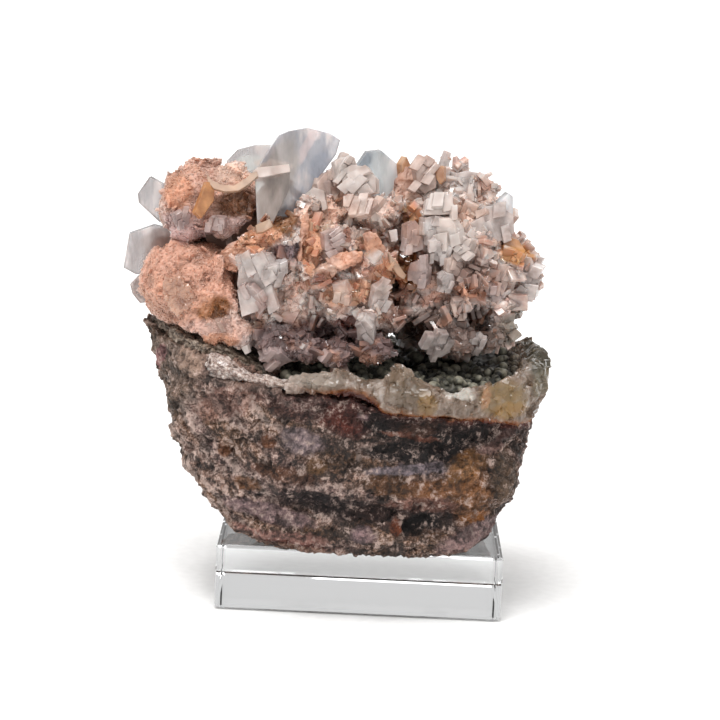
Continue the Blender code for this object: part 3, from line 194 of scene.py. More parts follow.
# Large crystals: finish, depth y of the middle, thickness, turn about the upright, lean of the top away
# from the front, and the outline as (x, z) seen from the front
PLATES = [
    ("peach", -14.0, 1.0, 8, -14, [(-30.1, 48.7), (-27.8, 48.6), (-25.6, 46.2), (-25.3, 44.0), (-26.0, 41.2),
                                   (-29.0, 43.4), (-30.2, 46.0)]),
    ("glassy", -1.5, 1.6, 0, 0, [(-33.0, 46.8), (-34.9, 46.4), (-36.0, 45.2), (-35.6, 43.8), (-34.4, 42.4),
                                 (-31.0, 43.0)]),
    ("amber", -11.0, 1.0, 30, 12, [(-24.6, 62.0), (-23.3, 61.6), (-23.6, 59.2), (-25.8, 56.6), (-26.8, 57.6)]),
    # Four brown crystals fill the clefts, their dark colour painted shade of the clefts.
    ("brown", -2.0, 3.0, 10, 0, [(-25.4, 54.6), (-17.0, 56.0), (-16.0, 50.0), (-24.6, 49.4)]),
    ("brown", -6.0, 2.0, -10, 0, [(-21.6, 50.4), (-18.0, 50.6), (-17.8, 43.8), (-21.2, 43.9)]),
    ("brown", -3.0, 2.0, 12, 0, [(2.8, 61.0), (6.6, 61.2), (7.0, 54.0), (3.2, 53.8)]),
    ("brown", 2.5, 3.0, -12, 0, [(-22.6, 57.8), (-15.4, 58.6), (-14.6, 52.6), (-22.0, 51.4)]),
    ("ivory", -10.4, 0.8, -6, 26, [(-24.8, 63.0), (-23.9, 62.0), (-22.6, 61.5), (-20.7, 61.4), (-19.4, 62.3),
                                   (-18.3, 63.5), (-17.5, 63.8), (-17.3, 63.1), (-18.6, 61.7), (-19.8, 60.7),
                                   (-21.8, 60.4), (-23.6, 60.8), (-24.5, 61.8)]),
    ("cream", -9.6, 1.0, 4, 12, [(-18.2, 63.6), (-17.5, 64.2), (-12.9, 64.9), (-12.7, 63.8), (-14.7, 63.3),
                                 (-16.8, 62.8), (-18.1, 62.7)]),
    ("lilac", -10.6, 1.2, -18, -14, [(-24.6, 56.0), (-23.5, 57.1), (-21.5, 57.1), (-21.6, 55.4), (-22.8, 55.0),
                                     (-24.2, 55.1)]),
    ("lilac", -10.8, 1.0, 24, -20, [(-29.8, 57.0), (-28.4, 57.8), (-26.9, 57.3), (-27.0, 55.7), (-28.9, 55.3)]),
    ("clear", -16.4, 1.4, -6, -6, [(-19.8, 52.3), (-18.2, 52.6), (-16.5, 52.9), (-14.7, 52.9), (-14.0, 52.1),
                                   (-14.4, 48.4), (-15.1, 47.5), (-15.3, 45.2), (-16.1, 44.5), (-16.8, 44.9),
                                   (-18.6, 45.3), (-19.4, 48.1), (-19.2, 50.1)]),
    ("clear", -16.8, 1.2, 22, -22, [(-16.0, 51.5), (-13.4, 52.1), (-12.7, 50.5), (-13.1, 48.0), (-15.0, 47.4),
                                    (-16.2, 49.0)]),
    ("lilac", -16.6, 1.2, -30, -30, [(-18.6, 48.2), (-16.5, 48.7), (-15.4, 47.3), (-15.7, 44.7), (-17.1, 44.0),
                                     (-18.8, 45.4)]),
    ("ivory", -14.6, 1.0, 12, 20, [(-17.3, 56.4), (-15.2, 57.4), (-14.7, 56.3), (-16.2, 55.4), (-17.1, 55.3)]),
    ("orange", -15.4, 0.45, -68, 6, [(-11.3, 58.3), (-10.6, 58.7), (-9.6, 51.6), (-10.6, 52.2)]),
    ("orange", -15.0, 0.45, 62, 4, [(-10.5, 58.8), (-9.6, 58.2), (-8.6, 51.6), (-9.4, 51.1)]),
    ("ivory", -15.2, 0.4, -50, 8, [(-9.6, 57.4), (-9.1, 57.4), (-8.9, 56.1), (-9.4, 56.1)]),
    ("orange", -15.0, 1.3, 24, -10, [(-1.9, 56.1), (-0.7, 56.4), (0.9, 55.1), (1.8, 53.6), (1.5, 51.4),
                                     (1.2, 50.2), (-0.3, 49.1), (-1.4, 47.7), (-1.7, 49.0), (-1.1, 51.9),
                                     (-1.5, 54.1)]),
    ("ivory", -15.2, 1.0, 18, -8, [(1.8, 53.6), (2.8, 52.6), (4.7, 50.4), (4.5, 49.7), (3.6, 50.2),
                                   (2.2, 51.9)]),
    ("orange", -16.0, 1.4, -14, 34, [(-6.6, 52.6), (-4.2, 53.3), (-1.9, 53.6), (-1.6, 52.7), (-4.4, 50.6),
                                     (-6.4, 51.1)]),
    ("peach", -16.4, 1.2, 20, -24, [(-8.9, 50.6), (-7.1, 51.6), (-5.1, 52.0), (-5.4, 50.5), (-7.3, 48.4),
                                    (-8.7, 48.8)]),
    ("clear", -15.6, 1.3, 28, -20, [(-0.3, 48.8), (0.7, 49.4), (1.9, 49.3), (2.3, 46.3), (1.2, 44.9),
                                    (-0.2, 45.3)]),
    ("clear", -16.2, 1.6, -12, -26, [(-1.9, 44.5), (-0.8, 45.0), (0.8, 44.6), (0.6, 40.9), (-0.6, 40.2),
                                     (-1.9, 40.9)]),
    ("clear", -13.2, 1.6, 10, 8, [(1.8, 56.4), (3.0, 56.7), (3.2, 55.1), (2.2, 54.8)]),
    ("pink", -13.8, 1.8, -22, 24, [(-4.9, 60.9), (-2.4, 61.1), (0.3, 60.9), (0.5, 60.0), (-0.6, 58.8),
                                   (-3.4, 58.4), (-4.6, 59.3)]),
    ("lilac", -15.4, 1.6, 26, -6, [(-7.8, 56.0), (-5.9, 56.6), (-4.6, 55.6), (-4.6, 53.3), (-6.3, 52.6),
                                   (-7.5, 53.7)]),
    ("pink", -16.2, 1.4, -20, -18, [(-5.6, 49.0), (-3.7, 49.5), (-2.9, 48.0), (-3.7, 45.9), (-5.2, 46.3)]),
    ("orange", -4.2, 1.6, 14, 4, [(2.5, 62.8), (4.2, 64.8), (5.7, 64.0), (6.6, 62.0), (6.6, 58.4),
                                  (2.4, 57.4)]),
    ("peach", -5.6, 1.4, -20, 8, [(4.0, 60.6), (5.4, 61.7), (6.8, 60.2), (6.4, 57.4), (4.2, 57.4)]),
    ("pink", -6.2, 1.8, 18, 8, [(-9.2, 62.0), (-8.0, 63.5), (-6.7, 64.0), (-5.3, 62.8), (-4.7, 59.8), (-8.4, 58.9)]),
    ("cream", -7.4, 1.6, -16, 14, [(-10.7, 60.0), (-9.2, 61.4), (-7.5, 61.0), (-7.0, 58.8), (-9.2, 58.0)]),
    ("cream", -7.6, 1.6, 20, 10, [(-6.7, 65.4), (-5.6, 66.1), (-3.6, 66.1), (-3.0, 64.1), (-4.0, 62.9),
                                  (-6.4, 63.0)]),
    ("cream", -9.2, 2.0, -16, 14, [(-5.4, 64.1), (-3.8, 65.1), (-1.8, 65.0), (0.0, 63.5), (0.3, 61.5),
                                   (-1.6, 60.7), (-4.5, 61.0)]),
    ("cream", -11.2, 2.2, 8, 16, [(7.0, 60.9), (8.5, 61.5), (10.2, 61.7), (11.5, 59.3), (11.0, 58.9),
                                  (8.8, 58.6), (6.6, 58.6)]),
    ("clear", -11.6, 2.2, 24, 4, [(6.6, 58.4), (8.1, 58.8), (9.4, 58.6), (9.8, 56.4), (8.9, 54.6), (7.1, 55.0),
                                  (6.4, 56.7)]),
    ("cream", -12.4, 2.0, -22, -6, [(9.2, 58.6), (11.2, 58.7), (12.5, 57.2), (12.9, 55.5), (11.2, 54.4),
                                    (9.5, 55.3), (9.0, 57.0)]),
    ("clear", -12.8, 1.6, 10, -16, [(7.7, 54.8), (9.4, 55.4), (11.2, 54.7), (10.9, 53.1), (9.2, 52.4),
                                    (7.8, 53.0)]),
    ("cream", -12.8, 1.8, -24, 10, [(13.3, 55.8), (14.4, 55.6), (14.2, 54.0), (12.4, 52.3), (11.5, 53.1),
                                    (12.0, 54.6)]),
    ("lilac", -12.2, 1.8, 30, 6, [(4.1, 57.4), (5.5, 57.9), (6.7, 56.3), (6.7, 53.7), (5.0, 53.3),
                                  (3.9, 55.0)]),
    ("clear", -7.2, 3.0, 8, 6, [(14.4, 58.5), (15.4, 59.8), (17.0, 60.1), (19.8, 58.9), (20.1, 56.3),
                                (19.0, 55.1), (17.4, 54.8), (15.3, 55.5), (14.1, 56.6)]),
    ("pink", -8.6, 1.2, -30, 12, [(14.5, 59.2), (16.2, 59.8), (16.4, 59.1), (14.9, 58.0)]),
    ("amber", -7.6, 2.2, 12, 16, [(18.5, 54.2), (19.6, 55.4), (20.8, 55.1), (21.9, 53.4), (20.5, 52.4),
                                  (18.8, 52.8)]),
    ("clear", -6.2, 2.6, -14, 0, [(20.7, 51.8), (21.7, 52.9), (23.3, 52.7), (24.7, 49.4), (24.2, 46.7),
                                  (21.7, 46.8), (20.3, 49.1)]),
    ("pink", -8.4, 2.2, 22, 2, [(18.0, 51.9), (20.0, 52.5), (20.9, 50.0), (19.7, 46.4), (18.1, 46.8),
                                (17.5, 49.3)]),
    ("lilac", -9.6, 1.8, -18, -16, [(16.5, 48.5), (18.4, 49.0), (19.1, 47.2), (18.6, 45.2), (16.8, 45.6)]),
    ("clear", -2.4, 1.1, 24, 0, [(8.9, 65.0), (9.7, 67.3), (10.5, 67.0), (10.2, 64.6)]),
    ("clear", -1.6, 1.0, -26, 8, [(10.8, 64.7), (12.2, 65.8), (13.1, 65.2), (12.0, 64.0)]),
    ("clear", -3.6, 1.2, 6, 14, [(10.5, 62.5), (11.5, 64.1), (12.9, 64.5), (15.6, 64.2), (15.4, 62.4),
                                 (13.7, 61.5), (10.9, 61.5)]),
    ("pink", -5.0, 2.2, 18, 6, [(5.1, 64.8), (6.1, 65.7), (7.5, 66.1), (8.4, 65.7), (8.3, 62.0), (6.5, 61.1),
                                (5.4, 62.1)]),
    ("amber", -5.6, 1.2, -18, 4, [(8.5, 65.4), (9.7, 65.3), (9.9, 63.3), (9.3, 62.6), (8.7, 63.5)]),
    ("amber", -3.6, 1.6, 30, 0, [(2.9, 65.1), (3.7, 66.3), (4.7, 64.6), (4.9, 62.8), (3.3, 62.6)]),
    ("clear", -13.6, 1.8, 26, -8, [(9.3, 50.5), (10.2, 51.0), (11.2, 50.8), (11.6, 49.3), (10.8, 48.1),
                                   (9.7, 48.5)]),
    ("cream", -13.4, 0.8, -24, -6, [(13.7, 49.8), (14.3, 50.0), (14.6, 48.4), (13.9, 48.3)]),
    ("pink", -13.4, 1.6, 14, -20, [(11.4, 47.1), (13.3, 47.5), (13.8, 45.1), (12.3, 44.3), (11.3, 45.5)]),
    ("lilac", -13.2, 1.6, -26, -10, [(5.5, 52.0), (7.2, 52.7), (8.3, 51.3), (8.0, 48.8), (6.1, 49.0),
                                     (5.1, 50.6)]),
    ("pink", -12.6, 1.4, 30, 8, [(10.2, 52.8), (12.1, 53.1), (12.8, 51.4), (11.8, 50.1), (10.2, 50.7)]),
    ("clear", -12.2, 1.8, -18, -26, [(13.9, 41.1), (15.9, 42.0), (17.0, 40.7), (16.2, 39.5), (14.3, 39.2)]),
    ("clear", -12.8, 1.8, 22, -24, [(7.9, 41.1), (9.5, 42.1), (11.3, 41.7), (11.8, 39.2), (10.3, 38.3),
                                    (8.0, 39.0)]),
    ("cream", -13.8, 0.8, 30, -10, [(8.6, 41.4), (9.2, 41.6), (9.4, 40.3), (8.8, 40.1)]),
    ("clear", -15.8, 1.6, 40, -14, [(-10.6, 39.4), (-10.1, 40.1), (-8.0, 39.5), (-8.4, 38.5)]),
    ("cream", -16.2, 0.8, -22, -6, [(-18.4, 38.9), (-17.5, 39.4), (-17.1, 38.3), (-17.8, 37.9)]),
    ("lilac", -15.8, 1.6, 12, -30, [(-15.4, 38.6), (-12.9, 39.1), (-11.1, 37.6), (-13.0, 36.3), (-14.7, 36.9)]),
    ("pink", -14.4, 1.4, -20, -30, [(-24.0, 42.0), (-22.0, 42.7), (-20.6, 41.5), (-21.1, 39.7), (-23.3, 40.0)]),
    ("lilac", -15.6, 1.4, 30, -26, [(-6.9, 38.7), (-5.0, 39.3), (-3.7, 38.1), (-4.5, 36.6), (-6.5, 36.8)]),
    ("orange", -9.5, 2.8, -10, 6, [(-22.2, 49.4), (-22.1, 51.5), (-21.3, 52.7), (-20.2, 53.3), (-18.9, 53.5),
                                   (-18.2, 52.0), (-18.6, 50.0), (-20.0, 48.8)]),
]
PLATE_BEVEL = 0.06
# Large crystals at least this wide have smaller ones grown against them, most of them in front
CROWDED_WIDTH = 1.5
GROWN_SIDES = (-1, -1, 1, -1, -1, -1)
# How far the top of a tablet is offset by the slant of its sides, as a share of its height
TABLET_SLANT = 0.21

# Body colour of the clear blades that are not plain pale grey, and how cloudy each one is
BLADE_TINTS = {
    "blade_cream": ("#d2c4bd", 0.7),
    "blade_white": ("#dcdbde", 0.75),
    "blade_grey": ("#c2c7ca", 0.6),
    "blade_tall": ("#b4b4ba", 0.55),
}
# Cloudy veils in the clear blades and one painted glint, written as the patches above
BLADE_VEILS = [
    ("#ece0de", -9.6, 68.8, 1.1, 0.9, 0, 0.9),
    ("#e2d3d2", -10.6, 67.2, 0.7, 3.0, 24, 0.8),
    ("#bdb4ae", -14.6, 62.2, 2.4, 6.5, 14, 0.8),
    ("#d9d6d8", -6.3, 67.0, 0.8, 2.4, 24, 0.7),
    ("#a4a8b3", -8.4, 64.2, 1.6, 2.4, 20, 0.7),
    ("#949ea8", -2.4, 65.6, 1.6, 1.6, 30, 0.85),
    ("#d2d4d4", 0.9, 62.6, 1.7, 3.8, -12, 0.85),
    # Painted glint: a small white highlight.
    ("#f2f4f2", -17.8, 61.0, 0.8, 1.6, 40, 0.9),
    ("#dfe3df", -19.4, 63.4, 2.4, 1.4, -20, 0.6),
    ("#cdc6c5", -32.6, 57.2, 1.4, 2.6, 30, 0.7),
    ("#ab9d98", -32.4, 50.6, 2.4, 2.8, 0, 0.85),
    ("#b5acaa", -35.0, 49.6, 1.2, 2.8, 0, 0.7),
    ("#ded1c9", -15.6, 63.8, 3.0, 0.9, -6, 0.9),
    ("#b5a79f", -15.4, 59.6, 1.6, 2.6, 0, 0.7),
    ("#efeff0", 18.6, 60.8, 0.9, 1.2, 0, 0.8),
]
# Large clear blades, written as the plates above without a finish
BLADES = {
    "blade_tall": (-2.8, 2.0, 5, 4, [(-17.8, 63.4), (-16.6, 65.6), (-14.8, 68.4), (-13.3, 69.1), (-10.6, 69.7),
                                     (-7.3, 69.0), (-5.8, 68.1), (-6.3, 66.0), (-9.9, 60.6), (-12.6, 56.4),
                                     (-17.2, 57.0)]),
    "blade_back": (3.4, 1.4, -6, 2, [(-22.6, 63.6), (-21.0, 65.4), (-18.5, 66.2), (-15.5, 66.4), (-14.4, 62.0),
                                     (-15.6, 57.4), (-21.4, 57.4)]),
    "blade_grey": (-1.2, 2.6, 8, 2, [(-3.2, 64.4), (-1.9, 66.5), (0.2, 66.8), (1.3, 65.9), (2.8, 64.8),
                                     (3.2, 63.0), (2.0, 57.0), (-2.2, 57.0)]),
    "blade_left_upper": (-2.4, 1.5, -6, 0, [(-33.5, 61.4), (-35.2, 58.8), (-35.0, 57.5), (-31.8, 54.8),
                                            (-28.4, 55.4), (-29.4, 59.4)]),
    "blade_left_lower": (-2.4, 1.7, 4, 0, [(-36.3, 52.9), (-37.0, 47.8), (-35.2, 46.9), (-30.4, 46.8),
                                           (-28.8, 50.4), (-30.6, 53.9), (-32.7, 54.3), (-34.2, 53.7)]),
    "blade_cream": (-8.4, 1.9, 4, 8, [(-17.9, 63.4), (-12.8, 64.8), (-12.8, 61.1), (-14.0, 58.4), (-15.4, 55.2),
                                      (-17.2, 55.2)]),
    "blade_white": (-5.8, 1.8, 16, 0, [(17.4, 57.1), (17.7, 60.6), (19.0, 61.9), (19.7, 61.4), (19.9, 57.6),
                                       (18.8, 53.4), (17.0, 53.4)]),
}

# Small crystals on each mass: shape, how many, shortest and longest length, how far they lean from upright,
# and how much neighbours turn the same way
DRUSE = {
    "baryte_left_cluster": [("grain", 8000, 0.18, 0.32, 0.3, 0.0), ("tablet", 70, 0.7, 1.4, 0.4, 0.7)],
    "baryte_knob_cluster": [("grain", 6500, 0.18, 0.32, 0.3, 0.0), ("tablet", 110, 0.7, 1.4, 0.4, 0.7)],
    "baryte_centre_cluster": [("tablet", 340, 1.3, 2.6, 0.5, 0.85), ("rhomb", 300, 1.2, 2.3, 0.5, 0.85),
                              ("block", 1500, 0.5, 1.3, 0.45, 0.6), ("grain", 6500, 0.2, 0.45, 0.6, 0.0)],
    "baryte_right_cluster": [("tablet", 420, 1.5, 3.0, 0.5, 0.85), ("rhomb", 320, 1.4, 2.6, 0.5, 0.85),
                             ("block", 1600, 0.6, 1.6, 0.45, 0.6), ("grain", 4000, 0.25, 0.5, 0.6, 0.0)],
}
GROWTH_PITCH = 4.5
TIP_PALER = 0.35
MASS_VOXEL = 0.42
# How far each mass lies under its solid, so that its crystals end at the solid, and how often it is smoothed
MASS_SUNK = {"left": 0.1, "knob": 0.1, "centre": 0.4, "right": 0.45}
MASS_SMOOTHED = {"left": 6, "knob": 45, "centre": 0, "right": 0}
# Masses whose small crystals are as cloudy as the mass itself
SUGARY = ("left", "knob")
# Small lumps on the masses, most along their lower edges, as (x, y, z, half width, half depth, half height)
MASS_LUMPS = {
    "left": [(-22.4, -13.6, 41.4, 3.0, 2.4, 2.3), (-18.6, -14.6, 40.6, 2.4, 2.2, 2.2)],
    "knob": [],
    "centre": [(-14.6, -14.6, 39.8, 2.8, 2.4, 2.5), (-9.6, -15.0, 39.0, 3.0, 2.4, 2.4),
               (-4.6, -15.0, 38.9, 2.8, 2.4, 2.3), (0.4, -14.6, 39.2, 2.8, 2.4, 2.4),
               (-9.2, -6.0, 57.6, 2.4, 2.6, 2.8), (-6.6, -5.4, 58.8, 2.4, 2.8, 2.8),
               (-3.6, -5.6, 59.8, 3.0, 3.0, 3.2), (0.6, -6.8, 58.0, 3.2, 3.2, 2.8)],
    "right": [(5.4, -4.0, 58.4, 2.4, 2.6, 3.0), (13.4, -12.2, 40.8, 2.6, 2.2, 2.2),
              (18.6, -10.2, 41.6, 2.4, 2.2, 2.2)],
}

ROCK_VOXEL = 0.36
RIM_VOXEL = 0.3
CRUST_VOXEL = 0.36
SPHERULES = 620
SPHERULE_RADIUS = (0.5, 0.95)
CRUST_ROCKY_LEFT = -14.0
# Stretches of the crust and of the rim that draw back under the edge of the rock, written as the rock's patches
CRUST_HOLLOWS = [
    ("#000000", -25.0, 39.5, 14.0, 6.0, 14, 0.0, -0.8),
]
RIM_HOLLOWS = [
    ("#000000", -19.0, 37.0, 8.5, 3.6, 10, 0.0, -0.45),
]

# Large crystals' finishes: body colour, clearness and roughness
FINISHES = {
    "glassy": ("#cfc8c6", 0.7, 0.1),
    "clear": ("#ddd3cf", 0.6, 0.2),
    "lilac": ("#cab4b0", 0.55, 0.2),
    "pink": ("#dcc3b7", 0.5, 0.25),
    "cream": ("#e6dad3", 0.5, 0.35),
    "ivory": ("#b89c80", 0.5, 0.3),
    "peach": ("#d9ad94", 0.5, 0.25),
    "orange": ("#c58c6d", 0.3, 0.5),
    "amber": ("#cf8f45", 0.5, 0.2),
    # Brown crystals fill the clefts; their dark brown is painted shade of the clefts.
    "brown": ("#6b4a36", 0.1, 0.5),
}
# Finishes whose crystals have smaller ones grown against them, and those that a sugary crust covers
GROWN_BESIDE = ("clear", "lilac", "pink", "cream")
SUGARED = ("orange", "peach")
SUGAR_VOXEL = 0.22


def linear(code):
    """A hex colour in sRGB as linear red, green, blue and alpha."""
    values = [int(code[place:place + 2], 16) / 255.0 for place in (1, 3, 5)]
    return (*[v / 12.92 if v <= 0.04045 else ((v + 0.055) / 1.055) ** 2.4 for v in values], 1.0)


def add(tree, kind, sockets=None, **settings):
    """Add a node with its settings. Each socket gets a value, or the output that is linked to it."""
    made = tree.nodes.new("ShaderNode" + kind)
    for key, value in settings.items():
        setattr(made, key, value)
    for key, value in (sockets or {}).items():
        if isinstance(value, bpy.types.NodeSocket):
            tree.links.new(value, made.inputs[key])
        else:
            made.inputs[key].default_value = value
    return made


def new_material(name):
    """An empty material, its node tree and its Principled shader."""
    material = bpy.data.materials.new(name)
    material.use_nodes = True
    tree = material.node_tree
    return material, tree, tree.nodes["Principled BSDF"]


def ramp(tree, factor, stops):
    """A colour ramp through (place, hex colour) stops."""
    made = add(tree, "ValToRGB", {"Fac": factor})
    line = made.color_ramp
    line.elements[0].position, line.elements[0].color = stops[0][0], linear(stops[0][1])
    line.elements[1].position, line.elements[1].color = stops[-1][0], linear(stops[-1][1])
    for place, code in stops[1:-1]:
        line.elements.new(place).color = linear(code)
    return made.outputs["Color"]


def warp(tree, coords, pitches):
    """Shift coordinates by noise of each pitch and reach, in millimetres, so that edges break up like grain."""
    for pitch, reach in pitches:
        swirl = add(tree, "TexNoise", {"Vector": coords, "Scale": 1.0 / (pitch * MM), "Detail": 2.0})
        centred = add(tree, "VectorMath", {0: swirl.outputs["Color"], 1: (0.5, 0.5, 0.5)}, operation="SUBTRACT")
        sized = add(tree, "VectorMath", {0: centred.outputs[0], "Scale": reach * MM}, operation="SCALE")
        moved = add(tree, "VectorMath", {0: coords, 1: sized.outputs[0]}, operation="ADD")
        coords = moved.outputs[0]
    return coords


def paint(tree, colour, coords, patches, middle=0.0, depth=60.0):
    """Lay tilted oval patches over a colour, ragged by the warped coordinates; middle and depth are along y."""
    for code, x, z, half_x, half_z, tilt, strength in [patch[:7] for patch in patches]:
        turned = add(tree, "Mapping", {"Vector": coords, "Location": (x * MM, middle * MM, z * MM),
                                       "Rotation": (0.0, math.radians(tilt), 0.0),
                                       "Scale": (half_x * MM, depth * MM, half_z * MM)}, vector_type="TEXTURE")
        away = add(tree, "VectorMath", {0: turned.outputs[0]}, operation="LENGTH")
        mask = add(tree, "MapRange", {"Value": away.outputs["Value"], "From Min": 1.12, "From Max": 0.8,
                                      "To Min": 0.0, "To Max": strength})
        colour = add(tree, "Mix", {"Factor": mask.outputs[0], 6: colour, 7: linear(code)},
                     data_type="RGBA").outputs[2]
    return colour


def overlay(tree, colour, value, strength):
    """Lighten and darken a colour by a grey value round one half."""
    return add(tree, "Mix", {"Factor": strength, 6: colour, 7: value}, data_type="RGBA",
               blend_type="OVERLAY").outputs[2]


def banded_rock():
    """Broken vein rock: quartz, baryte and iron oxides in sugary bands. Matt, with white grains that glint."""
    material, tree, shader = new_material("broken banded vein rock")
    coords = add(tree, "TexCoord").outputs["Object"]
    warped = warp(tree, coords, [(4.0, 2.0), (0.9, 1.1)])
    dipped = dip_left(tree, warped)
    grain = add(tree, "TexNoise", {"Vector": dipped, "Scale": 1.0 / (0.8 * MM), "Detail": 5.0, "Roughness": 0.7})
    colour = ramp(tree, grain.outputs["Fac"], [(0.36, "#3a241f"), (0.46, "#74554a"), (0.54, "#977a6c"),
                                               (0.64, "#bba096")])
    hue = add(tree, "TexNoise", {"Vector": dipped, "Scale": 1.0 / (5.0 * MM), "Detail": 3.0})
    warm = ramp(tree, hue.outputs["Fac"], [(0.38, "#8f6030"), (0.5, "#8f6c5a"), (0.62, "#8c706c")])
    colour = add(tree, "Mix", {"Factor": 0.5, 6: colour, 7: warm}, data_type="RGBA").outputs[2]
    sugar = add(tree, "TexNoise", {"Vector": coords, "Scale": 1.0 / (0.7 * MM), "Detail": 7.0, "Roughness": 0.9,
                                   "Distortion": 0.3}).outputs["Fac"]
    crowd = add(tree, "TexNoise", {"Vector": dipped, "Scale": 1.0 / (2.2 * MM), "Detail": 3.0})
    split = add(tree, "SeparateXYZ", {0: coords})
    whiter = add(tree, "MapRange", {"Value": split.outputs["X"], "From Min": -28.0 * MM, "From Max": 0.0,
                                    "To Min": -0.275, "To Max": -0.385})
    crowding = add(tree, "Math", {0: crowd.outputs["Fac"], 1: 0.65, 2: whiter.outputs[0]}, operation="MULTIPLY_ADD")
    crowded = add(tree, "Math", {0: sugar, 1: crowding.outputs[0]}, operation="ADD").outputs[0]
    # The sugar noise in these values also bumps the surface, so the dark specks are painted shade in its pits and the
    # pale ones white grains.
    colour = speckle(tree, colour, crowded, (0.43, 0.51), 0.25, (0.535, 0.575), 0.85)
    colour = paint(tree, colour, warped, ROCK_PATCHES)
    colour = iron_line(tree, colour, warped)
    group = add(tree, "TexNoise", {"Vector": coords, "Scale": 1.0 / (1.6 * MM), "Detail": 2.0})
    grouped = add(tree, "Math", {0: group.outputs["Fac"], 1: 0.5, 2: -0.25}, operation="MULTIPLY_ADD")
    grouped = add(tree, "Math", {0: sugar, 1: grouped.outputs[0]}, operation="ADD").outputs[0]
    # Finer specks: painted shade in the pits and white grains, as above.
    colour = speckle(tree, colour, grouped, (0.42, 0.49), 0.28, (0.565, 0.605), 0.78)
    # Painted shade and light: the colour is darkened in the hollows of the grain and lightened on its rises, by the
    # relief height.
    relief = add(tree, "Attribute", attribute_name="relief")
    shade = add(tree, "MapRange", {"Value": relief.outputs["Fac"], "From Min": -0.5, "From Max": 0.3,
                                   "To Min": 0.4, "To Max": 1.15})
    colour = add(tree, "Mix", {"Factor": 1.0, 6: colour, 7: shade.outputs[0]}, data_type="RGBA",
                 blend_type="MULTIPLY").outputs[2]
    tree.links.new(colour, shader.inputs["Base Color"])
    gloss = add(tree, "MapRange", {"Value": sugar, "From Min": 0.45, "From Max": 0.6, "To Min": 0.75,
                                   "To Max": 0.28})
    tree.links.new(gloss.outputs[0], shader.inputs["Roughness"])
    shader.inputs["IOR"].default_value = 1.55
    bump = add(tree, "Bump", {"Height": sugar, "Strength": 1.0, "Distance": 0.5 * MM})
    tree.links.new(bump.outputs[0], shader.inputs["Normal"])
    return material


def speckle(tree, colour, grains, pits, dark, tips, white):
    """Darken a colour in the hollows of a noise, as painted shade in its pits, and whiten it on its peaks as white
    grains, each between two of its values.
    """
    hollow = add(tree, "MapRange", {"Value": grains, "From Min": pits[0], "From Max": pits[1], "To Min": dark,
                                    "To Max": 1.0})
    colour = add(tree, "Mix", {"Factor": 1.0, 6: colour, 7: hollow.outputs[0]}, data_type="RGBA",
                 blend_type="MULTIPLY").outputs[2]
    peak = add(tree, "MapRange", {"Value": grains, "From Min": tips[0], "From Max": tips[1], "To Max": white})
    return add(tree, "Mix", {"Factor": peak.outputs[0], 6: colour, 7: linear("#d9bfb3")},
               data_type="RGBA").outputs[2]


def dip_left(tree, coords):
    """Coordinates squeezed along the bands, which dip steeply at the left end of the rock."""
    split = add(tree, "SeparateXYZ", {0: coords})
    fall = add(tree, "MapRange", {"Value": split.outputs["X"], "From Min": -36.0 * MM, "From Max": -10.0 * MM,
                                  "To Min": 20.0 * MM, "To Max": 0.0}, interpolation_type="SMOOTHSTEP")
    height = add(tree, "Math", {0: split.outputs["Z"], 1: fall.outputs[0]}, operation="SUBTRACT")
    along = add(tree, "Math", {0: split.outputs["X"], 1: 0.35}, operation="MULTIPLY")
    return add(tree, "CombineXYZ", {0: along.outputs[0], 1: split.outputs["Y"], 2: height.outputs[0]}).outputs[0]


def iron_line(tree, colour, coords):
    """Red-brown iron oxide under the fluorite: bright orange-brown at its edge, fading downwards."""
    split = add(tree, "SeparateXYZ", {0: coords})
    low_x, high_x = IRON_LINE[0][0], IRON_LINE[-1][0]
    low_z, high_z = 25.0, 40.0
    along = add(tree, "MapRange", {"Value": split.outputs["X"], "From Min": low_x * MM, "From Max": high_x * MM})
    edge = add(tree, "FloatCurve", {"Value": along.outputs[0]})
    curve = edge.mapping.curves[0]
    stops = [((x - low_x) / (high_x - low_x), (z - low_z) / (high_z - low_z)) for x, z in IRON_LINE]
    curve.points[0].location = stops[0]
    curve.points[1].location = stops[-1]
    for stop in stops[1:-1]:
        curve.points.new(*stop)
    edge.mapping.update()
    height = add(tree, "MapRange", {"Value": edge.outputs[0], "To Min": low_z * MM, "To Max": high_z * MM})
    below = add(tree, "Math", {0: height.outputs[0], 1: split.outputs["Z"]}, operation="SUBTRACT")
    place = add(tree, "MapRange", {"Value": below.outputs[0], "From Min": -1.0 * MM, "From Max": 4.0 * MM})
    stain = ramp(tree, place.outputs[0], [(0.0, "#b08457"), (0.2, "#9a5a2c"), (0.3, "#5e2214"), (0.5, "#34140e"),
                                          (1.0, "#241412")])
    share = add(tree, "FloatCurve", {"Value": place.outputs[0]})
    fade = share.mapping.curves[0]
    fade.points[0].location = (0.0, 0.0)
    fade.points[1].location = (1.0, 0.0)
    for stop in IRON_FADE:
        fade.points.new(*stop)
    share.mapping.update()
    right = add(tree, "MapRange", {"Value": split.outputs["X"], "From Min": -12.0 * MM, "From Max": -5.0 * MM,
                                   "To Min": 0.0, "To Max": 1.0})
    mask = add(tree, "Math", {0: share.outputs[0], 1: right.outputs[0]}, operation="MULTIPLY")
    return add(tree, "Mix", {"Factor": mask.outputs[0], 6: colour, 7: stain}, data_type="RGBA").outputs[2]


def make_milky(shader, weight, depth):
    """Let light wander inside a cloudy crystal, farther for red than for blue; depth is in millimetres."""
    shader.inputs["Subsurface Weight"].default_value = weight
    shader.inputs["Subsurface Radius"].default_value = (1.0, 0.8, 0.7)
    shader.inputs["Subsurface Scale"].default_value = depth * MM


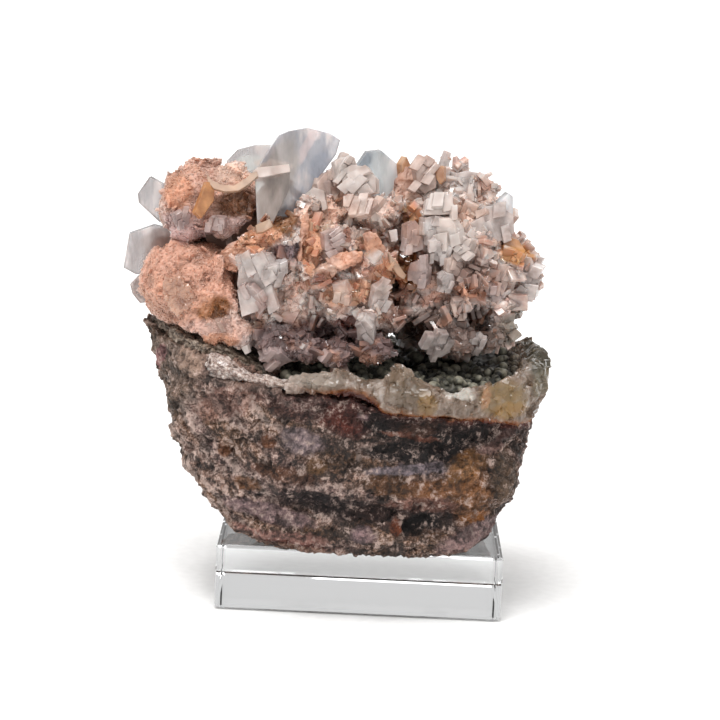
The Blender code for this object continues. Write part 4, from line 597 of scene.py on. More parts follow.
def crystal_mass():
    """Intergrown baryte under the crystals: sugary, cloudy, stained orange by iron. Half matt with glints."""
    material, tree, shader = new_material("sugary iron-stained baryte")
    coords = add(tree, "TexCoord").outputs["Object"]
    colour = baryte_colour(tree, coords)
    # Painted shade and light: darker in the hollows of the grain and lighter on its rises, by the relief height.
    relief = add(tree, "Attribute", attribute_name="relief")
    shade = add(tree, "MapRange", {"Value": relief.outputs["Fac"], "From Min": -0.45, "From Max": 0.2,
                                   "To Min": 0.62, "To Max": 1.1})
    colour = add(tree, "Mix", {"Factor": 1.0, 6: colour, 7: shade.outputs[0]}, data_type="RGBA",
                 blend_type="MULTIPLY").outputs[2]
    tree.links.new(colour, shader.inputs["Base Color"])
    make_milky(shader, 0.4, 0.8)
    shader.inputs["Roughness"].default_value = 0.5
    shader.inputs["IOR"].default_value = 1.64
    fine = add(tree, "TexVoronoi", {"Vector": coords, "Scale": 1.0 / (0.35 * MM)})
    bump = add(tree, "Bump", {"Height": fine.outputs["Distance"], "Strength": 0.7, "Distance": 0.15 * MM})
    tree.links.new(bump.outputs[0], shader.inputs["Normal"])
    return material


def baryte_colour(tree, coords):
    """Pink-grey baryte with drifting cloudiness, its stains, painted light and shade and, deep between the masses,
    red-brown.
    """
    warped = warp(tree, coords, [(3.5, 2.2), (0.8, 0.8)])
    cloud = add(tree, "TexNoise", {"Vector": coords, "Scale": 1.0 / (2.2 * MM), "Detail": 4.0, "Roughness": 0.6})
    colour = ramp(tree, cloud.outputs["Fac"], [(0.34, "#bfa197"), (0.46, "#d2b7ac"), (0.55, "#e2cec5"),
                                               (0.66, "#f3e7e1")])
    colour = paint(tree, colour, warped, LOBE_PATCHES)
    colour = paint(tree, colour, warped, BARYTE_PATCHES, middle=-12.0, depth=18.0)
    rust = add(tree, "TexNoise", {"Vector": warped, "Scale": 1.0 / (4.5 * MM), "Detail": 3.0})
    rusted = add(tree, "MapRange", {"Value": rust.outputs["Fac"], "From Min": 0.54, "From Max": 0.66,
                                    "To Max": 0.5})
    return add(tree, "Mix", {"Factor": rusted.outputs[0], 6: colour, 7: linear("#d0977a")},
               data_type="RGBA").outputs[2]


def small_crystals():
    """Small glassy baryte tablets: cloudy inside and clear at the tips, each a little lighter or darker."""
    material, tree, shader = new_material("glassy baryte druse")
    coords = add(tree, "TexCoord").outputs["Object"]
    colour = baryte_colour(tree, coords)
    tint = add(tree, "Attribute", attribute_name="tint")
    colour = overlay(tree, colour, tint.outputs["Fac"], 0.38)
    tree.links.new(colour, shader.inputs["Base Color"])
    clear = add(tree, "MapRange", {"Value": tint.outputs["Fac"], "From Min": 0.1, "From Max": 0.9,
                                   "To Min": 0.1, "To Max": 0.5})
    tree.links.new(clear.outputs[0], shader.inputs["Transmission Weight"])
    make_milky(shader, 0.6, 0.9)
    shader.inputs["Roughness"].default_value = 0.12
    fine = add(tree, "TexNoise", {"Vector": coords, "Scale": 1.0 / (0.35 * MM), "Detail": 3.0})
    bump = add(tree, "Bump", {"Height": fine.outputs["Fac"], "Strength": 0.3, "Distance": 0.08 * MM})
    tree.links.new(bump.outputs[0], shader.inputs["Normal"])
    shader.inputs["IOR"].default_value = 1.64
    return material


def large_crystal(name, code, clearness, roughness):
    """A large baryte tablet: glassy faces, faint growth lines and milky veils inside."""
    material, tree, shader = new_material(name)
    coords = add(tree, "TexCoord").outputs["Object"]
    veil = add(tree, "TexNoise", {"Vector": coords, "Scale": 1.0 / (2.0 * MM), "Detail": 4.0})
    hazed = add(tree, "MapRange", {"Value": veil.outputs["Fac"], "From Min": 0.35, "From Max": 0.65,
                                   "To Min": clearness, "To Max": max(0.0, clearness - 0.35)})
    tree.links.new(hazed.outputs[0], shader.inputs["Transmission Weight"])
    colour = add(tree, "Mix", {"Factor": 0.65, 6: baryte_colour(tree, coords), 7: linear(code)},
                 data_type="RGBA").outputs[2]
    colour = overlay(tree, colour, veil.outputs["Fac"], 0.3)
    tree.links.new(colour, shader.inputs["Base Color"])
    make_milky(shader, 0.25, 0.8)
    shader.inputs["Roughness"].default_value = roughness
    shader.inputs["IOR"].default_value = 1.64
    stretched = add(tree, "Mapping", {"Vector": coords, "Scale": (1.0, 1.0, 0.12)})
    lines = add(tree, "TexNoise", {"Vector": stretched.outputs[0], "Scale": 1.0 / (0.3 * MM)})
    bump = add(tree, "Bump", {"Height": lines.outputs["Fac"], "Strength": 0.15, "Distance": 0.05 * MM})
    tree.links.new(bump.outputs[0], shader.inputs["Normal"])
    return material


def clear_blade(name, body, haze):
    """Clear blue-grey baryte: see-through, with cloudy veils and a painted glint along the blade and a grey cast where
    it is thick.
    """
    material, tree, shader = new_material(f"clear baryte {name}")
    coords = add(tree, "TexCoord").outputs["Object"]
    stretched = add(tree, "Mapping", {"Vector": coords, "Rotation": (0.0, math.radians(24), 0.0),
                                      "Scale": (1.0, 1.0, 0.3)})
    veil = add(tree, "TexNoise", {"Vector": stretched.outputs[0], "Scale": 1.0 / (3.0 * MM), "Detail": 4.0})
    clear = add(tree, "MapRange", {"Value": veil.outputs["Fac"], "From Min": 0.4, "From Max": 0.62,
                                   "To Min": 1.0 - 0.4 * haze, "To Max": 0.9 - haze})
    tree.links.new(clear.outputs[0], shader.inputs["Transmission Weight"])
    colour = ramp(tree, veil.outputs["Fac"], [(0.36, body), (0.54, body), (0.62, "#ddd5d3"), (0.7, "#e6e1e0")])
    colour = paint(tree, colour, warp(tree, coords, [(3.0, 1.6), (0.7, 0.4)]), BLADE_VEILS)
    tree.links.new(colour, shader.inputs["Base Color"])
    make_milky(shader, 0.6, 1.5)
    shader.inputs["Roughness"].default_value = 0.1
    shader.inputs["IOR"].default_value = 1.64
    lines = add(tree, "TexNoise", {"Vector": stretched.outputs[0], "Scale": 1.0 / (0.4 * MM)})
    bump = add(tree, "Bump", {"Height": lines.outputs["Fac"], "Strength": 0.25, "Distance": 0.06 * MM})
    tree.links.new(bump.outputs[0], shader.inputs["Normal"])
    absorb = add(tree, "VolumeAbsorption", {"Color": linear("#b8bec6"), "Density": 75.0})
    tree.links.new(absorb.outputs[0], tree.nodes["Material Output"].inputs["Volume"])
    return material


def fluorite():
    """Fluorite rim: cloudy, beige-grey, honey-yellow at the right, with broken faces that glint."""
    material, tree, shader = new_material("cloudy fluorite")
    coords = add(tree, "TexCoord").outputs["Object"]
    warped = warp(tree, coords, [(3.0, 1.6), (0.7, 0.5)])
    upright = add(tree, "Mapping", {"Vector": warped, "Scale": (1.0, 1.0, 0.4)})
    cloud = add(tree, "TexNoise", {"Vector": upright.outputs[0], "Scale": 1.0 / (1.6 * MM), "Detail": 5.0,
                                   "Roughness": 0.65})
    colour = ramp(tree, cloud.outputs["Fac"], [(0.32, "#69584a"), (0.45, "#8b7767"), (0.56, "#ae9b8c"),
                                               (0.68, "#ddd0c6")])
    colour = paint(tree, colour, warped, FLUORITE_PATCHES)
    colour = iron_line(tree, colour, warped)
    sugar = add(tree, "TexNoise", {"Vector": coords, "Scale": 1.0 / (0.7 * MM), "Detail": 7.0, "Roughness": 0.9})
    crust = ramp(tree, sugar.outputs["Fac"], [(0.4, "#4e382e"), (0.48, "#94807a"), (0.53, "#c2b0a6"),
                                              (0.6, "#efe6e0")])
    split = add(tree, "SeparateXYZ", {0: warped})
    rocky = add(tree, "MapRange", {"Value": split.outputs["X"], "From Min": -9.0 * MM, "From Max": -14.0 * MM,
                                   "To Max": 0.9})
    colour = add(tree, "Mix", {"Factor": rocky.outputs[0], 6: colour, 7: crust}, data_type="RGBA").outputs[2]
    tree.links.new(colour, shader.inputs["Base Color"])
    clear = add(tree, "MapRange", {"Value": rocky.outputs[0], "To Min": 0.5, "To Max": 0.0})
    tree.links.new(clear.outputs[0], shader.inputs["Transmission Weight"])
    make_milky(shader, 0.5, 1.5)
    shader.inputs["Roughness"].default_value = 0.16
    shader.inputs["IOR"].default_value = 1.434
    fine = add(tree, "TexNoise", {"Vector": coords, "Scale": 1.0 / (0.5 * MM), "Detail": 3.0})
    bump = add(tree, "Bump", {"Height": fine.outputs["Fac"], "Strength": 0.3, "Distance": 0.1 * MM})
    tree.links.new(bump.outputs[0], shader.inputs["Normal"])
    return material


def dark_spherules(name, dark, light):
    """Botryoidal crust: grey-green balls with a soft sheen, with painted shade in the hollows and painted light on
    top.
    """
    material, tree, shader = new_material(f"botryoidal grey-green {name}")
    coords = add(tree, "TexCoord").outputs["Object"]
    cloud = add(tree, "TexNoise", {"Vector": coords, "Scale": 1.0 / (1.4 * MM), "Detail": 4.0, "Roughness": 0.6})
    colour = ramp(tree, cloud.outputs["Fac"], [(0.32, "#2f2c26"), (0.45, "#525146"), (0.56, "#797566"),
                                               (0.7, "#948d7d")])
    # Painted shade and light: the colour is multiplied from dark in the hollows to light on the tops, by the relief
    # height.
    relief = add(tree, "Attribute", attribute_name="relief")
    shade = add(tree, "MapRange", {"Value": relief.outputs["Fac"], "From Min": -0.25, "From Max": 0.5,
                                   "To Min": dark, "To Max": light})
    colour = add(tree, "Mix", {"Factor": 1.0, 6: colour, 7: shade.outputs[0]}, data_type="RGBA",
                 blend_type="MULTIPLY").outputs[2]
    split = add(tree, "SeparateXYZ", {0: coords})
    left = add(tree, "MapRange", {"Value": split.outputs["X"], "From Min": -12.0 * MM, "From Max": -17.0 * MM})
    right = add(tree, "MapRange", {"Value": split.outputs["X"], "From Min": 20.5 * MM, "From Max": 23.0 * MM})
    rocky = add(tree, "Math", {0: left.outputs[0], 1: right.outputs[0]}, operation="MAXIMUM")
    sugar = add(tree, "TexNoise", {"Vector": coords, "Scale": 1.0 / (0.7 * MM), "Detail": 7.0, "Roughness": 0.9})
    rock = ramp(tree, sugar.outputs["Fac"], [(0.4, "#2a201b"), (0.48, "#5c4e43"), (0.54, "#8c7c6c"),
                                             (0.62, "#c4b6a8")])
    colour = add(tree, "Mix", {"Factor": rocky.outputs[0], 6: colour, 7: rock}, data_type="RGBA").outputs[2]
    tree.links.new(colour, shader.inputs["Base Color"])
    shader.inputs["Roughness"].default_value = 0.55
    fine = add(tree, "TexNoise", {"Vector": coords, "Scale": 1.0 / (0.25 * MM), "Detail": 3.0})
    bump = add(tree, "Bump", {"Height": fine.outputs["Fac"], "Strength": 0.35, "Distance": 0.08 * MM})
    tree.links.new(bump.outputs[0], shader.inputs["Normal"])
    return material


def cast_acrylic():
    """Clear cast acrylic, sawn and polished: glass-clear with bright edges and hair-fine scuffs."""
    material, tree, shader = new_material("polished cast acrylic")
    coords = add(tree, "TexCoord").outputs["Object"]
    shader.inputs["Base Color"].default_value = linear("#fbfdfe")
    shader.inputs["Transmission Weight"].default_value = 1.0
    shader.inputs["IOR"].default_value = 1.49
    scuff = add(tree, "TexNoise", {"Vector": coords, "Scale": 1.0 / (0.9 * MM), "Detail": 6.0, "Roughness": 0.7})
    worn = add(tree, "MapRange", {"Value": scuff.outputs["Fac"], "From Min": 0.58, "From Max": 0.75,
                                  "To Min": 0.015, "To Max": 0.12})
    tree.links.new(worn.outputs[0], shader.inputs["Roughness"])
    return material


def pale_floor():
    """Matt studio paper, nearly white."""
    material, tree, shader = new_material("matt white studio paper")
    coords = add(tree, "TexCoord").outputs["Object"]
    grain = add(tree, "TexNoise", {"Vector": coords, "Scale": 1.0 / (1.5 * MM), "Detail": 3.0})
    colour = ramp(tree, grain.outputs["Fac"], [(0.4, "#f4f4f3"), (0.6, "#f8f8f7")])
    tree.links.new(colour, shader.inputs["Base Color"])
    shader.inputs["Roughness"].default_value = 0.85
    return material


def choose(thing):
    """Select one object alone and make it the active one."""
    bpy.ops.object.select_all(action="DESELECT")
    thing.select_set(True)
    bpy.context.view_layer.objects.active = thing


def modify(thing, kind, **settings):
    """Add a modifier and apply it."""
    choose(thing)
    modifier = thing.modifiers.new(kind.lower(), kind)
    for key, value in settings.items():
        setattr(modifier, key, value)
    bpy.ops.object.modifier_apply(modifier=modifier.name)


def cad_copy(node_name, name):
    """A copy of a solid's mesh as a new object, with its loose triangles merged."""
    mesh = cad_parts[node_name].data.copy()
    thing = bpy.data.objects.new(name, mesh)
    bpy.context.scene.collection.objects.link(thing)
    choose(thing)
    bpy.ops.object.mode_set(mode="EDIT")
    bpy.ops.mesh.select_all(action="SELECT")
    bpy.ops.mesh.customdata_custom_splitnormals_clear()
    bpy.ops.mesh.remove_doubles(threshold=0.01 * MM)
    bpy.ops.object.mode_set(mode="OBJECT")
    return thing


def points_of(mesh):
    points = np.empty(len(mesh.vertices) * 3)
    mesh.vertices.foreach_get("co", points)
    return points.reshape(-1, 3)


def normals_of(mesh):
    normals = np.empty(len(mesh.vertices) * 3)
    mesh.vertex_normals.foreach_get("vector", normals)
    return normals.reshape(-1, 3)


def facets(place):
    """Height of a field of small flat faces, one for each cell, each tilted its own way."""
    centre = noise.voronoi(place)[1][0]
    tilt = noise.cell_vector(centre * 9.7) - Vector((0.5, 0.5, 0.5))
    return 1.6 * (place - centre).dot(tilt)


def pebbles(place):
    """Height of a field of round grains."""
    return 0.5 - noise.voronoi(place)[0][0]


GRAINS = {"swell": noise.noise, "facet": facets, "pebble": pebbles}


def roughen(thing, push, layers, name="relief"):
    """Push the surface out and add layers of grain, and keep the grain's height as an attribute."""
    mesh = thing.data
    points = points_of(mesh)
    relief = np.zeros(len(points))
    for kind, pitch, depth in layers:
        grain = GRAINS[kind]
        size = pitch * MM
        relief += depth * np.array([grain(Vector(point)) for point in points / size])
    moved = points + normals_of(mesh) * ((push + relief) * MM)[:, None]
    mesh.vertices.foreach_set("co", moved.ravel())
    attribute = mesh.attributes.new(name, "FLOAT", "POINT")
    attribute.data.foreach_set("value", relief.astype(np.float32))
    mesh.update()


def patch_relief(thing, patches):
    """Raise or sink the patches of colour by their own heights, with ragged borders."""
    mesh = thing.data
    points = points_of(mesh)
    shift = np.array([noise.noise_vector(Vector(point)) for point in points / (1.6 * MM)])
    places = points / MM + 0.8 * shift
    relief = np.zeros(len(points))
    for _, x, z, half_x, half_z, tilt, _, rise in patches:
        cosine, sine = math.cos(math.radians(tilt)), math.sin(math.radians(tilt))
        along = (places[:, 0] - x) * cosine - (places[:, 2] - z) * sine
        across = (places[:, 0] - x) * sine + (places[:, 2] - z) * cosine
        away = np.hypot(along / half_x, across / half_z)
        relief += rise * np.clip((1.1 - away) / 0.35, 0.0, 1.0)
    moved = points + normals_of(mesh) * (np.clip(relief, -0.8, 0.9) * MM)[:, None]
    mesh.vertices.foreach_set("co", moved.ravel())
    mesh.update()


def hang_lumps(thing, lumps):
    """Join small round lumps to a mass."""
    made = []
    for x, y, z, *halves in lumps:
        bpy.ops.object.select_all(action="DESELECT")
        bpy.ops.mesh.primitive_ico_sphere_add(subdivisions=3, radius=MM, location=(x * MM, y * MM, z * MM))
        lump = bpy.context.object
        lump.scale = halves
        bpy.ops.object.transform_apply(location=True, rotation=True, scale=True)
        made.append(lump)
    choose(thing)
    for lump in made:
        lump.select_set(True)
    if made:
        bpy.ops.object.join()


def dress(thing, material, slot, *nodes):
    """Give a finished piece its material, the body it rides on and the solids it stands for; its slot is not used."""
    thing.data.materials.clear()
    thing.data.materials.append(material)
    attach(thing, BODY)
    if nodes:
        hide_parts(*nodes)


def scatter(mesh, count, rng):
    """Points and normals spread evenly by chance over a mesh."""
    mesh.calc_loop_triangles()
    corners = np.empty(len(mesh.loop_triangles) * 3, np.int32)
    mesh.loop_triangles.foreach_get("vertices", corners)
    triangles = points_of(mesh)[corners.reshape(-1, 3)]
    cross = np.cross(triangles[:, 1] - triangles[:, 0], triangles[:, 2] - triangles[:, 0])
    areas = np.linalg.norm(cross, axis=1)
    picked = rng.choice(len(areas), count, p=areas / areas.sum())
    shares = rng.random((count, 2))
    shares = np.where(shares.sum(axis=1, keepdims=True) > 1.0, 1.0 - shares, shares)
    first, second, third = (triangles[picked, corner] for corner in range(3))
    places = first + shares[:, :1] * (second - first) + shares[:, 1:] * (third - first)
    return places, cross[picked] / areas[picked, None]


def frames_about(ups, rng):
    """For each upward direction a set of three axes, turned about it by chance."""
    ups = ups / np.linalg.norm(ups, axis=1, keepdims=True)
    sides = np.cross(rng.normal(size=ups.shape), ups)
    sides /= np.linalg.norm(sides, axis=1, keepdims=True)
    return np.stack([sides, np.cross(ups, sides), ups], axis=2)


def growth_frames(places, normals, lean, order, rng):
    """Axes for crystals that lean with their neighbours, as far as their order goes, and else by chance."""
    drift = np.array([noise.noise_vector(Vector(place)) for place in places / (GROWTH_PITCH * MM)])
    ups = normals + lean * (3.0 * order * drift + (1.0 - order) * rng.normal(size=normals.shape))
    ups /= np.linalg.norm(ups, axis=1, keepdims=True)
    common = np.roll(drift, 1, axis=1) + 0.15
    common /= np.linalg.norm(common, axis=1, keepdims=True)
    sides = np.cross(order * common + (1.0 - order) * 0.8 * rng.normal(size=ups.shape), ups)
    sides /= np.linalg.norm(sides, axis=1, keepdims=True)
    return np.stack([sides, np.cross(ups, sides), ups], axis=2)


def repeat(template, places, frames, sizes):
    """Copies of a template's points and triangles, each sized, turned and put in its place."""
    points, triangles = template
    sized = points[None] * sizes[:, None, :]
    moved = np.einsum("nij,nvj->nvi", frames, sized) + places[:, None, :]
    shifts = np.arange(len(places))[:, None, None] * len(points)
    return moved.reshape(-1, 3), (triangles[None] + shifts).reshape(-1, 3)


def object_from(name, batches):
    """One object from batches of (points, triangles, a tint for each point), flat-shaded."""
    shift = 0
    points, triangles, tints = [], [], []
    for batch_points, batch_triangles, batch_tints in batches:
        points.append(batch_points)
        triangles.append(batch_triangles + shift)
        tints.append(batch_tints)
        shift += len(batch_points)
    points, triangles, tints = np.concatenate(points), np.concatenate(triangles), np.concatenate(tints)
    mesh = bpy.data.meshes.new(name)
    mesh.vertices.add(len(points))
    mesh.vertices.foreach_set("co", points.ravel())
    mesh.loops.add(triangles.size)
    mesh.loops.foreach_set("vertex_index", triangles.ravel().astype(np.int32))
    mesh.polygons.add(len(triangles))
    mesh.polygons.foreach_set("loop_start", np.arange(0, triangles.size, 3, dtype=np.int32))
    mesh.update(calc_edges=True)
    mesh.validate()
    mesh.shade_flat()
    attribute = mesh.attributes.new("tint", "FLOAT", "POINT")
    attribute.data.foreach_set("value", tints.astype(np.float32))
    thing = bpy.data.objects.new(name, mesh)
    bpy.context.scene.collection.objects.link(thing)
    return thing


def template_of(thing):
    """Take a modelled crystal as points and triangles one millimetre long, and delete its object."""
    mesh = thing.data
    mesh.calc_loop_triangles()
    corners = np.empty(len(mesh.loop_triangles) * 3, np.int32)
    mesh.loop_triangles.foreach_get("vertices", corners)
    points = points_of(mesh)
    bpy.data.objects.remove(thing)
    return points, corners.reshape(-1, 3)


def crystal_template(kind):
    """Model one small crystal, one unit long, that stands on the origin with its foot a little below it."""
    bpy.ops.object.select_all(action="DESELECT")
    if kind == "rhomb":
        bpy.ops.mesh.primitive_cylinder_add(vertices=4, radius=0.62, depth=0.34, location=(0, 0, 0),
                                            rotation=(math.radians(90), 0, 0))
    else:
        bpy.ops.mesh.primitive_cube_add(size=1.0, location=(0, 0, 0))
    thing = bpy.context.object
    thing.scale = {"tablet": (0.72, 0.26, 1.0), "rhomb": (0.8, 1.0, 1.0), "block": (0.7, 0.62, 0.9),
                   "grain": (0.7, 0.6, 1.0)}[kind]
    bpy.ops.object.transform_apply(location=True, rotation=True, scale=True)
    bpy.ops.object.mode_set(mode="EDIT")
    bpy.ops.mesh.select_all(action="SELECT")
    if kind in ("tablet", "block"):
        bpy.ops.mesh.bevel(offset=0.035, segments=1, affect="EDGES")
    elif kind == "rhomb":
        bpy.ops.mesh.bevel(offset=0.04, segments=1, affect="EDGES")
    bpy.ops.transform.translate(value=(0, 0, 0.14))
    bpy.ops.object.mode_set(mode="OBJECT")
    return template_of(thing)


def mean_width(outline):
    """How wide an outline is on average across its longest side, in millimetres."""
    corners = np.array(outline)
    after = np.roll(corners, -1, axis=0)
    area = 0.5 * abs(np.sum(corners[:, 0] * after[:, 1] - after[:, 0] * corners[:, 1]))
    return area / np.ptp(corners, axis=0).max()


def model_plate(depth, thickness, turn, lean, outline, name):
    """Model one tabular crystal: its outline drawn flat, extruded, bevelled and set in place."""
    bpy.ops.object.select_all(action="DESELECT")
    middle = np.mean(outline, axis=0)
    bpy.ops.mesh.primitive_circle_add(vertices=len(outline), radius=MM, fill_type="NGON")
    thing = bpy.context.object
    thing.name = name
    for vertex, (x, z) in zip(thing.data.vertices, outline):
        vertex.co = ((x - middle[0]) * MM, 0.5 * thickness * MM, (z - middle[1]) * MM)
    bpy.ops.object.mode_set(mode="EDIT")
    bpy.ops.mesh.select_all(action="SELECT")
    bpy.ops.mesh.extrude_region_move(TRANSFORM_OT_translate={"value": (0, -thickness * MM, 0)})
    bpy.ops.mesh.select_all(action="SELECT")
    bpy.ops.mesh.normals_make_consistent(inside=False)
    bpy.ops.mesh.bevel(offset=PLATE_BEVEL * MM, segments=1, affect="EDGES")
    bpy.ops.object.mode_set(mode="OBJECT")
    turning = Matrix.Rotation(math.radians(turn), 4, "Z") @ Matrix.Rotation(math.radians(-lean), 4, "X")
    thing.data.transform(Matrix.Translation(Vector((middle[0], depth, middle[1])) * MM) @ turning)
    return thing


def grow_beside(plate, number, rng):
    """Smaller four-sided tablets grown flat against a tabular crystal, shifted along it and a little turned."""
    _, depth, thickness, turn, lean, outline = plate
    middle = np.mean(outline, axis=0)
    reach = 0.5 * np.ptp(outline, axis=0)
    made = []
    leaning = rng.uniform(-0.6, 0.6)
    for side in GROWN_SIDES:
        shift = rng.uniform(-0.85, 0.85, 2) * reach
        half_x, half_z = rng.uniform((0.2, 0.35), (0.4, 0.65)) * reach.mean()
        spin = leaning + rng.uniform(-0.3, 0.3)
        corners = []
        for across, up in ((-1, -1), (1, -1), (1, 1), (-1, 1)):
            x, z = across * half_x + up * half_z * TABLET_SLANT, up * half_z
            corners.append((middle[0] + shift[0] + x * math.cos(spin) - z * math.sin(spin),
                            middle[1] + shift[1] + x * math.sin(spin) + z * math.cos(spin)))
        back = shift[0] * math.sin(math.radians(turn)) + shift[1] * math.sin(math.radians(lean))
        place = depth + back + side * rng.uniform(0.2, 0.7) * thickness
        made.append(model_plate(place, thickness * rng.uniform(0.5, 0.9), turn + rng.uniform(-12, 12),
                                lean + rng.uniform(-10, 10), corners, f"beside_{number}"))
    return made


class SPECIMEN_PG_settings(bpy.types.PropertyGroup):
    """Sizes and colours of the specimen's looks."""
    block_arris: bpy.props.FloatProperty(
        name="Block arris", description="Width of the acrylic block's polished edges", default=0.45 * MM,
        min=0.05 * MM, max=2 * MM, unit="LENGTH")
    rock_grain: bpy.props.FloatProperty(
        name="Rock grain", description="How far the rock's coarse grain stands out, in millimetres",
        default=0.4, min=0.0, max=2.0)
    druse_size: bpy.props.FloatProperty(
        name="Druse size", description="Size of the small crystals as a share of the usual one",
        default=1.0, min=0.5, max=1.5, subtype="FACTOR")
    light_power: bpy.props.FloatProperty(
        name="Light", description="Strength of the studio lights as a share of the usual one",
        default=1.0, min=0.1, max=4.0, subtype="FACTOR")
    sky_colour: bpy.props.FloatVectorProperty(
        name="Surround", description="Colour of the studio's pale surround", default=(0.97, 0.955, 0.95),
        min=0.0, max=1.0, size=3, subtype="COLOR")


class SPECIMEN_OT_stage(bpy.types.Operator):
    """Set up the pale floor, the soft lights and the camera"""
    bl_idname = "specimen.stage"
    bl_label = "Stage"

    def execute(self, context):
        settings = context.scene.specimen
        bpy.ops.object.select_all(action="DESELECT")
        bpy.ops.mesh.primitive_circle_add(vertices=96, radius=3.0, fill_type="NGON",
                                          location=(0, 0, -FLOOR_DROP * MM))
        floor = context.object
        floor.name = "studio_floor"
        floor.data.materials.append(pale_floor())
        world = context.scene.world or bpy.data.worlds.new("studio")
        context.scene.world = world
        world.use_nodes = True
        sky = world.node_tree.nodes["Background"]
        sky.inputs["Color"].default_value = (*settings.sky_colour, 1.0)
        sky.inputs["Strength"].default_value = SKY_POWER
        for name, direction, angle, power in LIGHTS:
            self.add_light(name, direction, angle, power * settings.light_power)
        self.add_camera(context)
        context.scene.view_settings.view_transform = "Standard"
        return {"FINISHED"}

    def add_light(self, name, direction, angle, power):
        """A far soft light that shines the same on everything, from a direction and as wide as its angle."""
        lamp = bpy.data.lights.new(name, "SUN")
        lamp.angle = math.radians(angle)
        lamp.energy = power
        thing = bpy.data.objects.new(name, lamp)
        bpy.context.scene.collection.objects.link(thing)
        thing.rotation_euler = (-Vector(direction)).to_track_quat("-Z", "Y").to_euler()

    def add_camera(self, context):
        elevation = math.radians(CAMERA_ELEVATION)
        roll = math.radians(CAMERA_ROLL)
        ahead = Vector((0.0, math.cos(elevation), -math.sin(elevation)))
        level = Vector((1.0, 0.0, 0.0))
        upright = Vector((0.0, math.sin(elevation), math.cos(elevation)))
        right = level * math.cos(roll) + upright * math.sin(roll)
        up = upright * math.cos(roll) - level * math.sin(roll)
        camera = bpy.data.objects.new("camera", bpy.data.cameras.new("camera"))
        context.scene.collection.objects.link(camera)
        camera.data.lens = CAMERA_LENS
        camera.data.sensor_width = CAMERA_SENSOR
        camera.data.clip_start = 0.05
        camera.data.clip_end = 20.0
        turn = Matrix((right, up, -ahead)).transposed().to_4x4()
        turn.translation = (Vector(CAMERA_TARGET) - ahead * CAMERA_DISTANCE) * MM
        camera.matrix_world = turn
        context.scene.camera = camera


class SPECIMEN_OT_block(bpy.types.Operator):
    """Model the polished acrylic block"""
    bl_idname = "specimen.block"
    bl_label = "Acrylic block"

    def execute(self, context):
        bpy.ops.object.select_all(action="DESELECT")
        bpy.ops.mesh.primitive_cube_add(size=1.0, location=(BLOCK_LOW + BLOCK_HIGH) / 2)
        block = context.object
        block.name = "polished_block"
        block.scale = BLOCK_HIGH - BLOCK_LOW
        bpy.ops.object.transform_apply(location=True, rotation=True, scale=True)
        bpy.ops.object.mode_set(mode="EDIT")
        bpy.ops.mesh.select_all(action="SELECT")
        bpy.ops.mesh.bevel(offset=context.scene.specimen.block_arris, segments=2, affect="EDGES")
        bpy.ops.object.mode_set(mode="OBJECT")
        dress(block, cast_acrylic(), "clear_acrylic", "acrylic_stand")
        return {"FINISHED"}


class SPECIMEN_OT_blades(bpy.types.Operator):
    """Model the clear blades that stand clear of the masses"""
    bl_idname = "specimen.blades"
    bl_label = "Clear blades"

    def execute(self, context):
        for node_name, blade in BLADES.items():
            made = model_plate(*blade, node_name.replace("blade", "clear_blade"))
            made.data.shade_flat()
            body, haze = BLADE_TINTS.get(node_name, ("#b9b4b4", 0.45))
            dress(made, clear_blade(node_name, body, haze), "glassy_baryte", node_name)
        return {"FINISHED"}


class SPECIMEN_OT_plates(bpy.types.Operator):
    """Model the large tabular crystals of the masses and join those of one finish"""
    bl_idname = "specimen.plates"
    bl_label = "Large crystals"

    def execute(self, context):
        rng = np.random.default_rng(SEED + 2)
        for finish, (code, clearness, roughness) in FINISHES.items():
            made = []
            for number, plate in enumerate(PLATES):
                if plate[0] == finish:
                    wide = finish in GROWN_BESIDE and mean_width(plate[5]) > CROWDED_WIDTH
                    made.append(model_plate(*plate[1:], f"plate_{number}"))
                    if wide:
                        made += grow_beside(plate, number, rng)
            choose(made[0])
            for thing in made:
                thing.select_set(True)
            bpy.ops.object.join()
            made[0].name = f"crystals_{finish}"
            if finish in SUGARED:
                modify(made[0], "REMESH", mode="VOXEL", voxel_size=SUGAR_VOXEL * MM)
                roughen(made[0], 0.0, [("facet", 1.6, 0.35), ("facet", 0.6, 0.25)])
            made[0].data.shade_flat()
            material = large_crystal(f"{finish} baryte tablet", code, clearness, roughness)
            dress(made[0], material, "pink_baryte")
        return {"FINISHED"}


class SPECIMEN_OT_rock(bpy.types.Operator):
    """Grain the banded rock"""
    bl_idname = "specimen.rock"
    bl_label = "Banded rock"

    def execute(self, context):
        grain = context.scene.specimen.rock_grain
        rock = cad_copy("matrix_rock", "banded_rock")
        modify(rock, "REMESH", mode="VOXEL", voxel_size=ROCK_VOXEL * MM)
        patch_relief(rock, ROCK_PATCHES)
        roughen(rock, 0.0, [("swell", 2.4, grain), ("facet", 2.0, 0.6), ("facet", 0.9, 0.35),
                            ("swell", 0.7, 0.25)])
        rock.data.shade_flat()
        dress(rock, banded_rock(), "banded_matrix", "matrix_rock")
        return {"FINISHED"}


class SPECIMEN_OT_rim(bpy.types.Operator):
    """Break the fluorite rim into rough crystal faces"""
    bl_idname = "specimen.rim"
    bl_label = "Fluorite rim"

    def execute(self, context):
        rim = cad_copy("fluorite_rim", "fluorite_band")
        modify(rim, "REMESH", mode="VOXEL", voxel_size=RIM_VOXEL * MM)
        patch_relief(rim, RIM_HOLLOWS)
        roughen(rim, 0.1, [("facet", 3.2, 0.9), ("facet", 1.5, 0.45)])
        rim.data.shade_flat()
        dress(rim, fluorite(), "fluorite", "fluorite_rim")
        return {"FINISHED"}


